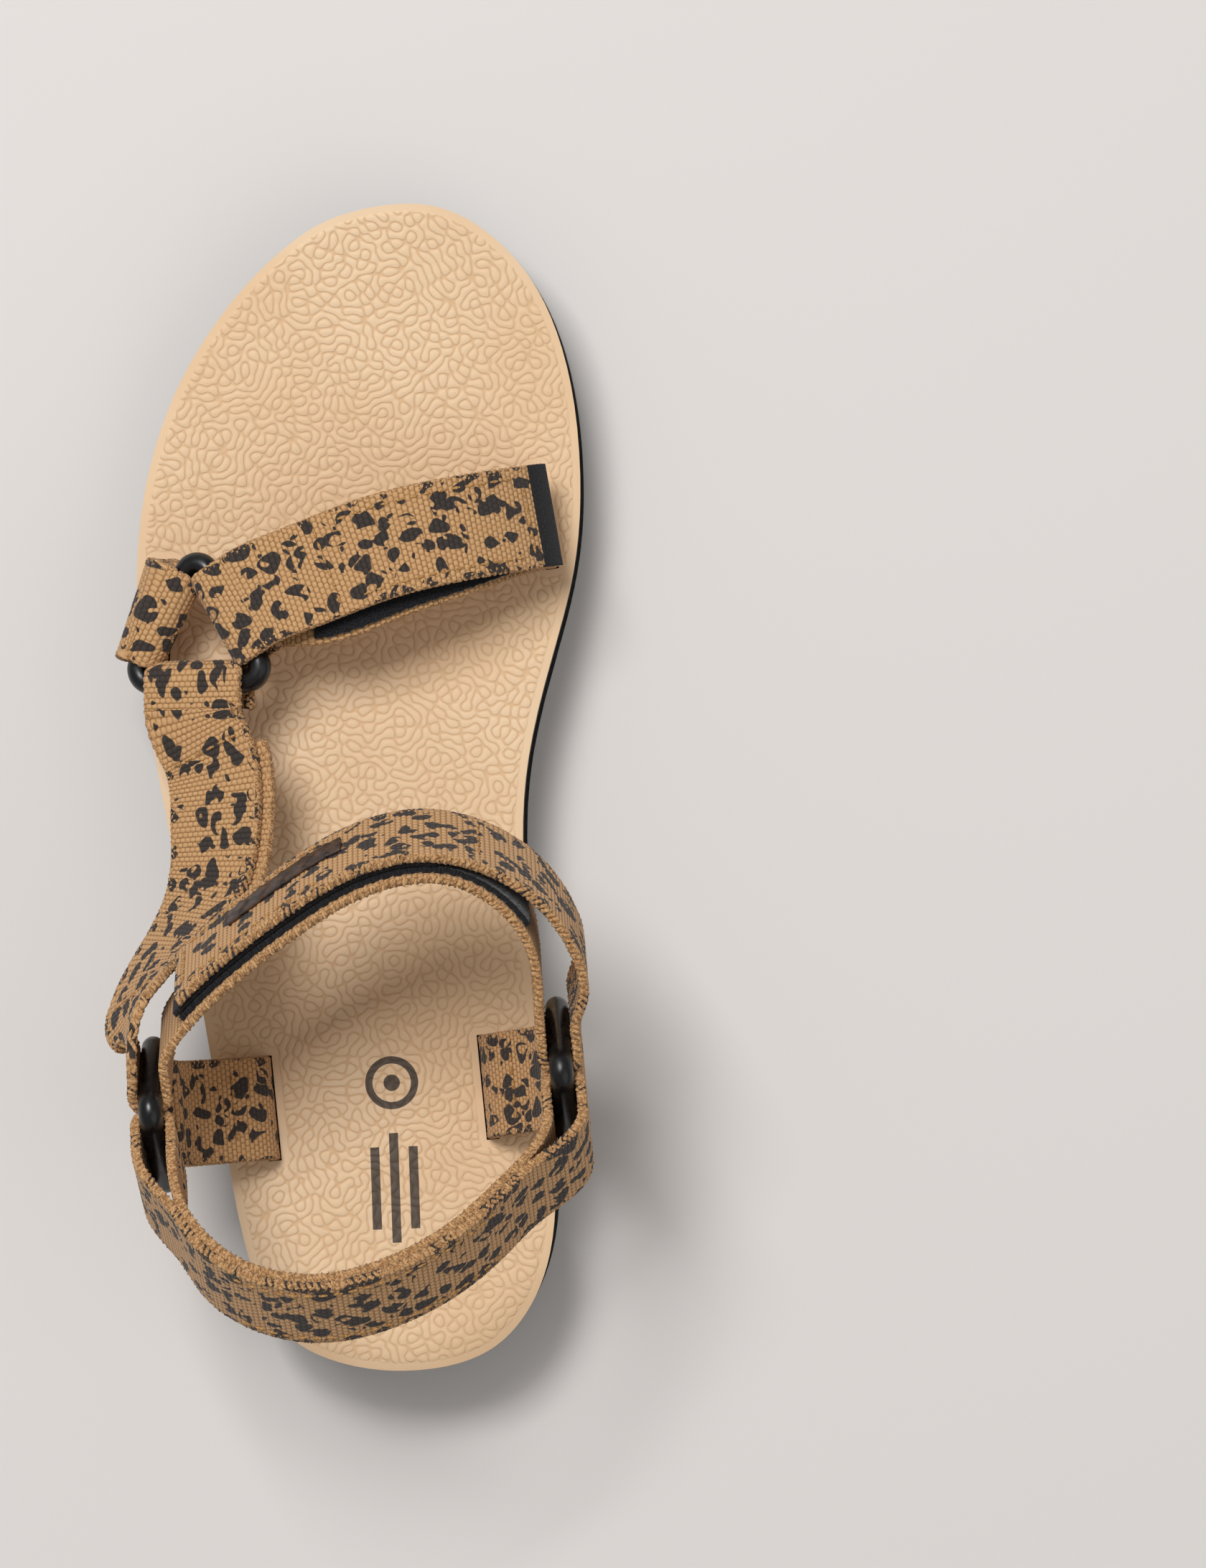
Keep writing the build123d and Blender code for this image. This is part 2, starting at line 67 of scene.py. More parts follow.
# ---- the frame's own sizes, in millimetres ------------------------------------------------------
WIDTH = 22.0
THICK = 1.8
TAPE_WIDTH = 20.0
TAPE_THICK = 1.1
SEWN_GAP = 0.2
TURN_GAP = 0.3
TAPE_GAP = 0.25
CLOSING_GAP = 0.45
BAR = 5.0
RING_SIDE = 33.0
REACH = RING_SIDE * tan(radians(30)) / 2
LEG = BAR / 2 + 0.25 + THICK / 2
LAYER = THICK + SEWN_GAP
LOOP_LEG = 6.0
TURNED_END = 1.5
TAPE_OFFSET = THICK / 2 + TAPE_GAP + TAPE_THICK / 2
CLOSED_PITCH = 2 * TAPE_OFFSET + TAPE_THICK + CLOSING_GAP
HOOK_OVERHANG = 3.0
STITCH_PITCH = 3.0
FOLD = 6.0
PLAIT_INSET = 0.55
FOOTBED_THICK = 6.0
SLOT_DEPTH = 5.0
BALL_HEIGHT = 21.5
TOP_LINE = [
    (-133.0, 0.6), (-100.0, 0.0), (-60.0, -0.3), (-20.0, -2.0), (20.0, -4.6), (60.0, -5.5),
    (100.0, -3.6), (133.0, 0.8),
]


# ---- frames -------------------------------------------------------------------------------------
def unit(vector):
    vector = np.asarray(vector, float)
    return vector / np.linalg.norm(vector)


MEDIAL = np.array([37.3, -62.5, 62.0])
LATERAL = np.array([-49.2, -68.0, 62.0])
TOE = np.array([-38.5, 33.4, 39.5])
RING_LINE = unit(MEDIAL - LATERAL)
RING_SPAN = float(np.linalg.norm(MEDIAL - LATERAL))
FORWARD = np.cross([0, 0, 1], RING_LINE)
TILT = radians(20)
RINGS = {
    "medial": (MEDIAL, FORWARD, np.array([0.0, 0.0, 1.0])),
    "lateral": (LATERAL, FORWARD, np.array([0.0, 0.0, 1.0])),
    "toe": (TOE, np.array([cos(TILT), 0, sin(TILT)]), np.array([0.0, 1.0, 0.0])),
}
INSTEP_BAR, HEEL_BAR, ANCHOR_BAR = 25.0, 145.0, 265.0
TOE_BAR, TOE_ANCHOR_BAR, SIDE_BAR = 29.0, 149.0, 269.0


def spoke(ring, angle):
    """The direction in a ring's plane at an angle from its first axis."""
    _, first, second = RINGS[ring]
    return first * cos(radians(angle)) + second * sin(radians(angle))


def bar_frame(ring, angle, outward=1):
    """Origin on a bar, x away from the ring's middle, y along the ring's normal, z along the bar."""
    out = spoke(ring, angle)
    along = -spoke(ring, angle + 90) * outward
    return RINGS[ring][0] + out * REACH, out, np.cross(along, out), along


def in_frame(place, points):
    """Flat points of a bar's frame as points in space."""
    origin, x_dir, y_dir, _ = place
    points = np.asarray(points, float)
    return origin + points[:, :1] * x_dir + points[:, 1:2] * y_dir


# ---- lines --------------------------------------------------------------------------------------
def smooth(points, first=None, last=None, per_span=40):
    """A clamped cubic spline through points, as a fine polyline."""
    points = np.asarray(points, float)
    steps = np.linalg.norm(np.diff(points, axis=0), axis=1)
    count = len(points)
    first = unit(points[1] - points[0]) if first is None else unit(first)
    last = unit(points[-1] - points[-2]) if last is None else unit(last)
    rows = np.eye(count)
    target = np.zeros_like(points)
    target[0], target[-1] = first, last
    for i in range(1, count - 1):
        before, after = 1 / steps[i - 1], 1 / steps[i]
        rows[i, i - 1:i + 2] = before, 2 * (before + after), after
        target[i] = 3 * ((points[i] - points[i - 1]) * before ** 2
                         + (points[i + 1] - points[i]) * after ** 2)
    ways = np.linalg.solve(rows, target)
    fine = []
    for i in range(count - 1):
        t = np.linspace(0, 1, per_span, endpoint=False)[:, None]
        leaving = (2 * t ** 3 - 3 * t ** 2 + 1) * points[i] + (t ** 3 - 2 * t ** 2 + t) * steps[i] * ways[i]
        reaching = (3 * t ** 2 - 2 * t ** 3) * points[i + 1] + (t ** 3 - t ** 2) * steps[i] * ways[i + 1]
        fine.append(leaving + reaching)
    return np.vstack(fine + [points[-1:]])


def lengths(points):
    return np.concatenate([[0], np.cumsum(np.linalg.norm(np.diff(points, axis=0), axis=1))])


def beside(line, share, distance):
    """The point at a share of a flat line's length, moved to its left by a distance."""
    run = lengths(line)
    at = share * run[-1]
    here = np.array([np.interp(at, run, line[:, k]) for k in (0, 1)])
    ahead = np.array([np.interp(min(at + 0.2, run[-1]), run, line[:, k]) for k in (0, 1)])
    behind = np.array([np.interp(max(at - 0.2, 0), run, line[:, k]) for k in (0, 1)])
    way = unit(ahead - behind)
    return here + np.array([-way[1], way[0]]) * distance


def turn(start, end):
    """Round a bar: a leg on each side and half a circle in the ring's hole."""
    arc = [(-LEG * sin(a), -LEG * cos(a)) for a in np.linspace(0, pi, 25)]
    return np.array([(start, -LEG)] + arc + [(end, LEG)])


class Route:
    """A strap's middle line, evenly stepped, with its width direction and printed-side normal."""

    def __init__(self, points, widths, step=0.2875):
        points = np.asarray(points, float)
        widths = np.broadcast_to(np.asarray(widths, float), points.shape)
        run = lengths(points)
        keep = np.concatenate([[True], np.diff(run) > 1e-6])
        points, widths, run = points[keep], widths[keep], run[keep]
        self.length = run[-1]
        self.run = np.append(np.arange(0, self.length - step / 2, step), self.length)
        self.centre = np.column_stack([np.interp(self.run, run, points[:, k]) for k in range(3)])
        wide = np.column_stack([np.interp(self.run, run, widths[:, k]) for k in range(3)])
        way = np.gradient(self.centre, axis=0)
        self.way = way / np.linalg.norm(way, axis=1)[:, None]
        wide = wide - self.way * np.sum(wide * self.way, axis=1)[:, None]
        self.wide = wide / np.linalg.norm(wide, axis=1)[:, None]
        self.face = np.cross(self.way, self.wide)
        self.half = np.ones(len(self.run))

    def at(self, run):
        """Centre, way, width direction and normal at distances along the route."""
        pick = lambda rows: np.column_stack([np.interp(run, self.run, rows[:, k]) for k in range(3)])
        return pick(self.centre), pick(self.way), pick(self.wide), pick(self.face)

    def moved(self, lift=0.0, aside=0.0, first=0.0, last=1.0, past=0.0):
        """A part of the route, moved off the printed side or along the width."""
        inside = np.linspace(first * self.length, last * self.length, 200)
        centre, way, wide, face = self.at(inside)
        points = centre + face * lift + wide * aside
        if past:
            points = np.vstack([points, points[-1] + way[-1] * past])
            wide = np.vstack([wide, wide[-1]])
        return Route(points, wide)

    def narrowed(self, origin, out):
        """The webbing squeezes between the ring's corners where it passes through the hole."""
        inward = (self.centre - origin) @ out
        near = np.linalg.norm(self.centre - origin, axis=1) < LEG + 3
        room = (REACH + inward) * sqrt(3) - 1.4
        self.half = np.where(near, np.minimum(1, room / (WIDTH / 2)), 1.0)
        return self


def flat_route(place, line):
    """A strap that lies along a flat line of a bar's frame; its printed side is on the left."""
    return Route(in_frame(place, line), -place[3])


def twisted(stations, first, last):
    """Points and widths of a strap that twists between stations of a centre and a width."""
    centres = np.array([centre for centre, _ in stations], float)
    widths = np.array([unit(wide) for _, wide in stations])
    fine = smooth(centres, first, last)
    knots = np.arange(len(centres)) * 40.0
    spread = np.column_stack([np.interp(np.arange(len(fine)), knots, widths[:, k]) for k in range(3)])
    return fine, spread


def top_height(y):
    """The footbed's height above the ground."""
    return 27.0 + float(np.interp(y, [p[0] for p in TOP_LINE], [p[1] for p in TOP_LINE]))


def bar_station(angle, side, reach):
    """Beside one of the toe ring's bars, over (1) or under (-1) the ring."""
    origin, x_dir, y_dir, z_dir = bar_frame("toe", angle)
    return origin + x_dir * reach + y_dir * side * LEG, -z_dir


# ---- every strap's route ------------------------------------------------------------------------
def instep_lines():
    """The lower layer's flat line, and the upper layer's at one pitch outside it."""
    lower = smooth([
        (LOOP_LEG + TURN_GAP, -LEG), (15.5, -3.2), (28.5, -4.6), (37.5, -10.2), (43.5, -19.0),
        (44.6, -28.0), (41.8, -39.5), (34.8, -52.5), (24.0, -68.0), (14.0, -78.8),
        (LOOP_LEG, LEG - RING_SPAN)], (1, 0), (-1, 0))
    closed = [beside(lower, share, CLOSED_PITCH) for share in np.linspace(0.42, 0.90, 13)]
    heading = beside(lower, 0.905, CLOSED_PITCH) - beside(lower, 0.895, CLOSED_PITCH)
    upper = smooth(
        [(LOOP_LEG, LEG), (12.0, 5.6), (26.5, 4.4), (39.0, -3.4)] + closed, (1, 0), heading)
    return lower, upper


def heel_lines():
    """The heel strap's two layers, sewn together between the rings."""
    middle = smooth([(18.5, -9.4), (30.5, -22.5), (39.5, -39.5), (41.6, -56.0), (36.6, -69.5),
                     (29.0, -77.6), (20.0, -82.4)])
    layers = []
    for side in (1, -1):
        sewn = [beside(middle, share, side * LAYER / 2) for share in np.linspace(0, 1, 11)]
        layers.append(smooth(
            [(LOOP_LEG, side * LEG)] + sewn + [(LOOP_LEG, -side * LEG - RING_SPAN)], (1, 0), (-1, 0)))
    return layers


def anchor_route(ring, outward, inward):
    """Up from the slot, over the ring's lower bar and back down, sewn on itself."""
    place = bar_frame(ring, ANCHOR_BAR, outward)
    top = (place[0][2] - top_height(place[0][1])) / -place[1][2]
    bottom = top + FOOTBED_THICK + SLOT_DEPTH - 1
    rise = smooth([(top - 1.0, inward), (top / 2 + 1.0, (inward - LEG) / 2), (2.0, -LEG)],
                  (-1, 0), (-1, 0))
    sewn = [beside(rise, share, -LAYER) for share in (0.56, 0.48, 0.4, 0.32)]
    back = smooth([(2.0, LEG), (6.5, LEG - 1.6)] + sewn, (1, 0))
    line = np.vstack([[(bottom, inward)], rise, turn(2.0, 2.0)[1:-1], back])
    return flat_route(place, line).narrowed(place[0], place[1])


def toe_anchor_route():
    """Up from its pocket under the toe ring's outer bar, round it and back into the pocket."""
    place = bar_frame("toe", TOE_ANCHOR_BAR)
    slot, slot_way = np.array([-47.6, 40.0, 0]), np.array([0.09, 0.995, 0])
    top = top_height(40.0)
    layers = {}
    for side in (1, -1):
        start, bar_way = bar_station(TOE_ANCHOR_BAR, side, 2.0)
        foot = slot - np.array([LAYER / 2 * side, 0, 0])
        stations = [
            (foot + (0, 0, top - 10.0), -slot_way), (foot + (0, 0, top - 5), -slot_way),
            (foot + (0, 0, top + 1.0), -slot_way),
            (foot + (-3.5 * max(side, 0), 0, top + 8.0), (-0.28, -0.95, -0.15)), (start, bar_way)]
        layers[side] = twisted(stations, (0, 0, 1), -place[1])
    around = in_frame(place, turn(2.0, 2.0)[1:-1])
    points = np.vstack([layers[-1][0], around, layers[1][0][::-1]])
    widths = np.vstack([layers[-1][1], np.tile(-place[3], (len(around), 1)), layers[1][1][::-1]])
    return Route(points, widths).narrowed(place[0], place[1])


def toe_routes():
    """The forefoot strap's lower layer and its upper layer, both starting at the ring."""
    high = BALL_HEIGHT
    slot, slot_way = np.array([37.0, 57.7, 0]), (-0.14, 0.99, 0)
    top = top_height(57.7)
    start = spoke("toe", TOE_BAR)
    under = twisted([
        bar_station(TOE_BAR, -1, LOOP_LEG), ((-14.0, 42.0, high + 22.6), (-0.29, 0.95, -0.10)),
        ((2.0, 46.6, high + 24.4), (-0.28, 0.96, -0.03)), ((16.5, 51.2, high + 22.2), (-0.22, 0.975, 0)),
        ((28.0, 55.2, high + 15.4), (-0.17, 0.985, 0)), ((35.0, 57.2, high + 7.0), slot_way),
        (slot + (0, 0, top + 1), slot_way), (slot + (0, 0, top - 4.5), slot_way),
        (slot + (0, 0, top - 10.0), slot_way)], start, (0, 0, -1))
    over = twisted([
        bar_station(TOE_BAR, 1, LOOP_LEG), ((-16.0, 45.2, high + 28.0), (-0.36, 0.925, -0.10)),
        ((0.0, 50.6, high + 29.8), (-0.28, 0.96, -0.03)), ((17.0, 54.4, high + 27.4), (-0.20, 0.98, 0)),
        ((31.2, 56.6, high + 19.8), (-0.16, 0.985, 0)), ((38.1, 57.6, high + 11.6), slot_way)],
        start, (0.42, 0.06, -0.9))
    return Route(*under), Route(*over)


def side_route():
    """The outer side strap, from over the toe ring up to the outer ankle ring's front bar."""
    origin, x_dir, y_dir, z_dir = bar_frame("lateral", INSTEP_BAR)
    last = origin + x_dir * TURNED_END - y_dir * LEG
    high = BALL_HEIGHT
    return Route(*twisted([
        bar_station(SIDE_BAR, 1, LOOP_LEG), ((-36.8, 8.0, high + 22.0), (0.90, 0.05, 0.436)),
        ((-35.6, -6.0, high + 24.0), (0.88, 0.09, 0.466)),
        ((-37.5, -19.5, high + 27.0), (0.80, 0.03, 0.60)),
        ((-44.6, -31.0, high + 31.8), (0.62, 0.05, 0.78)),
        ((-51.8, -41.5, high + 38.5), (0.34, -0.05, 0.93)),
        (last + x_dir * 5 - (0, 0, 0.3), (0.10, -0.30, 0.95)), (last, -z_dir)],
        spoke("toe", SIDE_BAR), -x_dir))


# ---- mesh helpers -------------------------------------------------------------------------------
def new_object(name, mesh):
    piece = bpy.data.objects.new(name, mesh)
    bpy.context.scene.collection.objects.link(piece)
    return piece


def baked(piece):
    """Applies a piece's modifiers to its mesh."""
    graph = bpy.context.evaluated_depsgraph_get()
    mesh = bpy.data.meshes.new_from_object(piece.evaluated_get(graph))
    mesh.name = piece.name
    piece.modifiers.clear()
    piece.data = mesh
    return piece


def weave_relief(run, across, sizes):
    """Height of plain-woven webbing: ribs across the strap, broken up in brick fashion."""
    pick = sizes.pick_pitch / MM
    row = np.floor(run / pick)
    rib = np.abs(np.sin(pi * run / pick)) ** 0.6
    block = np.abs(np.sin(pi * across / (1.15 * pick) + row * pi / 2))
    return sizes.pick_height / MM * rib * (0.25 + 0.75 * block)


def pile_relief(run, across, sizes):
    """Loop tape: a low uneven pile."""
    return 0.16 * (np.sin(run * 5.1 + np.sin(across * 3.7)) * np.sin(across * 6.3 + np.sin(run * 2.9)))


def rib_relief(run, across, sizes):
    """Hook tape's woven back: fine ribs across it."""
    return 0.12 * np.abs(np.sin(pi * run / 0.9))


def bead_relief(run, across, sizes):
    """The badge: a row of soft raised lozenges on a rounded bar."""
    crown = 1 - (np.abs(across) / 3.2) ** 4
    lozenge = np.clip(1.15 - np.abs((run - 0.5) % 5.6 - 2.8) / 2.6 - np.abs(across) / 2.9, 0, 0.4)
    return 0.25 * crown + 1.1 * lozenge


def band(name, route, width, thick, relief, sizes, column=0.45, first=0.0):
    """A strap or tape: a grid laid along a route, ribbed, and given its thickness."""
    rows, columns = len(route.run) - 1, max(int(width / column), 6)
    grid = bmesh.new()
    bmesh.ops.create_grid(grid, x_segments=rows, y_segments=columns, size=1)
    mesh = bpy.data.meshes.new(name)
    grid.to_mesh(mesh)
    grid.free()
    count = len(mesh.vertices)
    flat = np.empty(count * 3)
    mesh.vertices.foreach_get("co", flat)
    flat = flat.reshape(-1, 3)
    run = route.run[np.rint((flat[:, 0] + 1) / 2 * rows).astype(int)]
    centre, _, wide, face = route.at(run)
    half = np.interp(run, route.run, route.half) * width / 2
    across = flat[:, 1] * width / 2
    height = thick / 2 + relief(run + first, across, sizes)
    place = centre + wide * (flat[:, 1] * half)[:, None] + face * height[:, None]
    mesh.vertices.foreach_set("co", (place * MM).ravel())
    corners = np.empty(len(mesh.loops), int)
    mesh.loops.foreach_get("vertex_index", corners)
    layer = mesh.uv_layers.new(name="strap")
    layer.data.foreach_set("uv", np.column_stack([run + first, across])[corners].ravel())
    mesh.polygons.foreach_set("use_smooth", [True] * len(mesh.polygons))
    piece = new_object(name, mesh)
    if mesh.polygons[0].normal @ Vector(face[0]) <= 0:
        mesh.flip_normals()
    solid = piece.modifiers.new("thickness", "SOLIDIFY")
    solid.thickness = (thick + 0.05) * MM
    solid.offset = -1
    solid.material_offset = 1
    return baked(piece)


def tubes(lines, radius, sides=6):
    """Round yarns along polylines, in one mesh: grids rolled up and closed at their ends."""
    whole = bmesh.new()
    for line in lines:
        route = Route(line, (1.0, 0.31, 0.31), step=lengths(line)[-1] / (len(line) - 1))
        start = len(whole.verts)
        bmesh.ops.create_grid(whole, x_segments=len(route.run) - 1, y_segments=sides, size=1)
        whole.verts.ensure_lookup_table()
        fresh = whole.verts[start:]
        flat = np.array([v.co[:] for v in fresh])
        centre, _, wide, face = route.at((flat[:, 0] + 1) / 2 * route.length)
        angle = flat[:, 1] * pi
        place = centre + (wide * np.cos(angle)[:, None] + face * np.sin(angle)[:, None]) * radius
        for vert, co in zip(fresh, place * MM):
            vert.co = co
    bmesh.ops.remove_doubles(whole, verts=whole.verts, dist=0.002 * MM)
    rims = [edge for edge in whole.edges if edge.is_boundary]
    bmesh.ops.holes_fill(whole, edges=rims, sides=0)
    bmesh.ops.recalc_face_normals(whole, faces=whole.faces)
    return whole


def selvedges(name, route, width, sizes):
    """Both edges of a strap, plaited of three plump yarns."""
    pitch, radius = sizes.plait_pitch / MM, sizes.yarn_radius / MM
    lines = []
    for edge in (-1, 1):
        for yarn in range(3):
            turned = 2 * pi * (route.run / pitch + yarn / 3)
            aside = edge * (route.half * width / 2 - PLAIT_INSET) + 0.5 * np.sin(turned)
            lift = 0.42 * np.sin(2 * turned)
            lines.append(route.centre + route.wide * aside[:, None] + route.face * lift[:, None] * 1.9)
    whole = tubes(lines, radius)
    mesh = bpy.data.meshes.new(name)
    whole.to_mesh(mesh)
    whole.free()
    mesh.polygons.foreach_set("use_smooth", [True] * len(mesh.polygons))
    return new_object(name, mesh)


def stitches(name, route, rows, sizes, lift):
    """Thread stitches on a strap, each row from one (along, across) place to another."""
    whole = bmesh.new()
    pitch, long = STITCH_PITCH, sizes.stitch_length / MM
    for (run_a, across_a), (run_b, across_b) in rows:
        span = sqrt((run_b - run_a) ** 2 + (across_b - across_a) ** 2)
        for i in range(int(span / pitch)):
            share = (i + 0.5) * pitch / span
            run = run_a + (run_b - run_a) * share
            across = across_a + (across_b - across_a) * share
            centre, way, wide, face = [rows_[0] for rows_ in route.at(np.array([run]))]
            heading = unit(way * (run_b - run_a) + wide * (across_b - across_a))
            beside_it = np.cross(face, heading)
            spot = centre + wide * across + face * lift
            turned = Matrix((heading * long / 2, beside_it * 0.34, face * 0.3)).transposed().to_4x4()
            place = Matrix.Translation(Vector(spot) * MM) @ Matrix.Scale(MM, 4) @ turned
            bmesh.ops.create_uvsphere(whole, u_segments=6, v_segments=6, radius=1, matrix=place)
    bmesh.ops.recalc_face_normals(whole, faces=whole.faces)
    mesh = bpy.data.meshes.new(name)
    whole.to_mesh(mesh)
    whole.free()
    mesh.polygons.foreach_set("use_smooth", [True] * len(mesh.polygons))
    return new_object(name, mesh)


# ---- materials ----------------------------------------------------------------------------------
def linear(code):
    """An sRGB hex colour as the linear values that Blender takes."""
    parts = [int(code[i:i + 2], 16) / 255 for i in (1, 3, 5)]
    return [c / 12.92 if c <= 0.04045 else ((c + 0.055) / 1.055) ** 2.4 for c in parts] + [1.0]


def add(tree, kind, inputs=None, **settings):
    """A node with its settings, values and links."""
    node = tree.nodes.new(kind)
    for key, value in settings.items():
        setattr(node, key, value)
    for key, value in (inputs or {}).items():
        if isinstance(value, bpy.types.NodeSocket):
            tree.links.new(value, node.inputs[key])
        else:
            node.inputs[key].default_value = value
    return node


def maths(tree, operation, *values):
    return add(tree, "ShaderNodeMath", dict(enumerate(values)), operation=operation).outputs[0]


def mixed(tree, share, first, second):
    node = add(tree, "ShaderNodeMix", {0: share, 6: first, 7: second}, data_type="RGBA")
    return node.outputs[2]


def ramped(tree, value, low, high, low_out=0.0, high_out=1.0):
    """A smooth step of a value between two limits."""
    node = add(tree, "ShaderNodeMapRange",
               {0: value, 1: low, 2: high, 3: low_out, 4: high_out}, interpolation_type="SMOOTHSTEP")
    return node.outputs[0]


def surface(name, **constants):
    """A material with a Principled surface; constants are set on its own sockets."""
    material = bpy.data.materials.new(name)
    material.use_nodes = True
    tree = material.node_tree
    shader = tree.nodes["Principled BSDF"]
    for key, value in constants.items():
        shader.inputs[key.replace("_", " ")].default_value = value
    return material, tree, shader


def bump(tree, shader, height, distance, strength=1.0):
    node = add(tree, "ShaderNodeBump", {"Height": height, "Distance": distance, "Strength": strength})
    tree.links.new(node.outputs[0], shader.inputs["Normal"])


def strap_spot(tree, scale_along, scale_across, offset=0.0):
    """The strap's own millimetres, scaled: along it, then across it."""
    uv = add(tree, "ShaderNodeUVMap", uv_map="strap").outputs[0]
    return add(tree, "ShaderNodeMapping", {
        "Vector": uv, "Location": (offset, offset * 0.37, 0),
        "Scale": (scale_along, scale_across, 1)}).outputs[0]


def blotches(tree, cell, stretch, reach, chance, offset):
    """Dark spots with notches bitten out of them, one in each cell of a size in mm."""
    spot = strap_spot(tree, 1 / (cell * stretch), 1 / cell, offset)
    bend = add(tree, "ShaderNodeTexNoise", {"Vector": spot, "Scale": 1.1, "Detail": 0.0})
    shifted = add(tree, "ShaderNodeVectorMath", {0: bend.outputs["Color"], 1: (0.5, 0.5, 0.5)},
                  operation="SUBTRACT").outputs[0]
    shifted = add(tree, "ShaderNodeVectorMath", {0: shifted, "Scale": 0.9}, operation="SCALE").outputs[0]
    bent = add(tree, "ShaderNodeVectorMath", {0: spot, 1: shifted}, operation="ADD").outputs[0]
    cells = add(tree, "ShaderNodeTexVoronoi", {"Vector": bent, "Scale": 1.0, "Randomness": 0.75},
                voronoi_dimensions="2D")
    blob = ramped(tree, cells.outputs["Distance"], reach, reach - 0.05)
    bite = add(tree, "ShaderNodeTexNoise", {"Vector": spot, "Scale": 1.6, "Detail": 0.0}).outputs[0]
    kept = ramped(tree, bite, 0.62, 0.59)
    tint = add(tree, "ShaderNodeSeparateColor", {0: cells.outputs["Color"]}).outputs[0]
    chosen = maths(tree, "LESS_THAN", tint, chance)
    return maths(tree, "MULTIPLY", maths(tree, "MULTIPLY", blob, kept), chosen)


def webbing(name, colours, sizes, printed):
    """Polyester webbing, plain woven: ribbed yarn blocks with painted shade between the ribs, matte with a
    soft sheen, printed on one face.
    """
    material, tree, shader = surface(
        name, Roughness=0.82, Sheen_Weight=0.12, Sheen_Roughness=0.5, Specular_IOR_Level=0.3)
    pick = sizes.pick_pitch / MM
    spot = add(tree, "ShaderNodeSeparateXYZ", {0: strap_spot(tree, 1, 1)})
    run, across = spot.outputs[0], spot.outputs[1]
    row = maths(tree, "FLOOR", maths(tree, "DIVIDE", run, pick))
    rib = maths(tree, "ABSOLUTE", maths(tree, "SINE", maths(tree, "MULTIPLY", run, pi / pick)))
    turned = maths(tree, "ADD", maths(tree, "MULTIPLY", across, pi / (1.15 * pick)),
                   maths(tree, "MULTIPLY", row, pi / 2))
    block = maths(tree, "ABSOLUTE", maths(tree, "SINE", turned))
    height = maths(tree, "MULTIPLY", maths(tree, "POWER", rib, 0.6),
                   maths(tree, "MULTIPLY_ADD", block, 0.7, 0.3))
    # Painted shade: the yarn colour darkens towards yarn_shade between the weave's ribs.
    yarn = mixed(tree, ramped(tree, height, 0.1, 0.75), linear(colours.yarn_shade), linear(colours.yarn))
    uneven = add(tree, "ShaderNodeTexNoise", {"Vector": strap_spot(tree, 0.35, 0.5), "Scale": 1.0})
    yarn = mixed(tree, ramped(tree, uneven.outputs[0], 0.35, 0.7, 0.0, 0.35), yarn,
                 linear(colours.yarn_warm))
    if printed:
        large = blotches(tree, 4.4, 1.2, 0.41, 0.86, 0.0)
        small = blotches(tree, 3.6, 0.8, 0.22, 0.3, 17.3)
        mask = maths(tree, "MAXIMUM", large, small)
        # Painted shade on the print: the ink darkens towards ink_shade between the ribs.
        ink = mixed(tree, ramped(tree, height, 0.05, 0.6), linear(colours.ink_shade), linear(colours.ink))
        yarn = mixed(tree, maths(tree, "MULTIPLY", mask, 0.97), yarn, ink)
    tree.links.new(yarn, shader.inputs["Base Color"])
    bump(tree, shader, height, 0.22 * MM, 0.7)
    return material


def plain_yarn(name, code, shade_code, scale):
    """Twisted polyester yarn or thread: matte, with fine fibres along it."""
    material, tree, shader = surface(
        name, Roughness=0.8, Sheen_Weight=0.12, Sheen_Roughness=0.5, Specular_IOR_Level=0.3)
    spot = add(tree, "ShaderNodeTexCoord").outputs["Object"]
    fibre = add(tree, "ShaderNodeTexNoise", {"Vector": spot, "Scale": scale, "Detail": 3.0}).outputs[0]
    colour = mixed(tree, ramped(tree, fibre, 0.35, 0.65), linear(shade_code), linear(code))
    tree.links.new(colour, shader.inputs["Base Color"])
    bump(tree, shader, fibre, 0.12 * MM, 0.6)
    return material


def dark_tape(name, code, sheen, roughness):
    """Nylon closing tape: loop pile is velvety, the hook tape's back is finely ribbed."""
    material, tree, shader = surface(
        name, Roughness=roughness, Sheen_Weight=sheen, Sheen_Roughness=0.4, Specular_IOR_Level=0.25)
    spot = strap_spot(tree, 1, 1)
    fuzz = add(tree, "ShaderNodeTexNoise", {"Vector": spot, "Scale": 2.6, "Detail": 4.0}).outputs[0]
    colour = mixed(tree, ramped(tree, fuzz, 0.4, 0.62), linear(code), linear("#26262A"))
    tree.links.new(colour, shader.inputs["Base Color"])
    bump(tree, shader, fuzz, 0.3 * MM, 0.8)
    return material


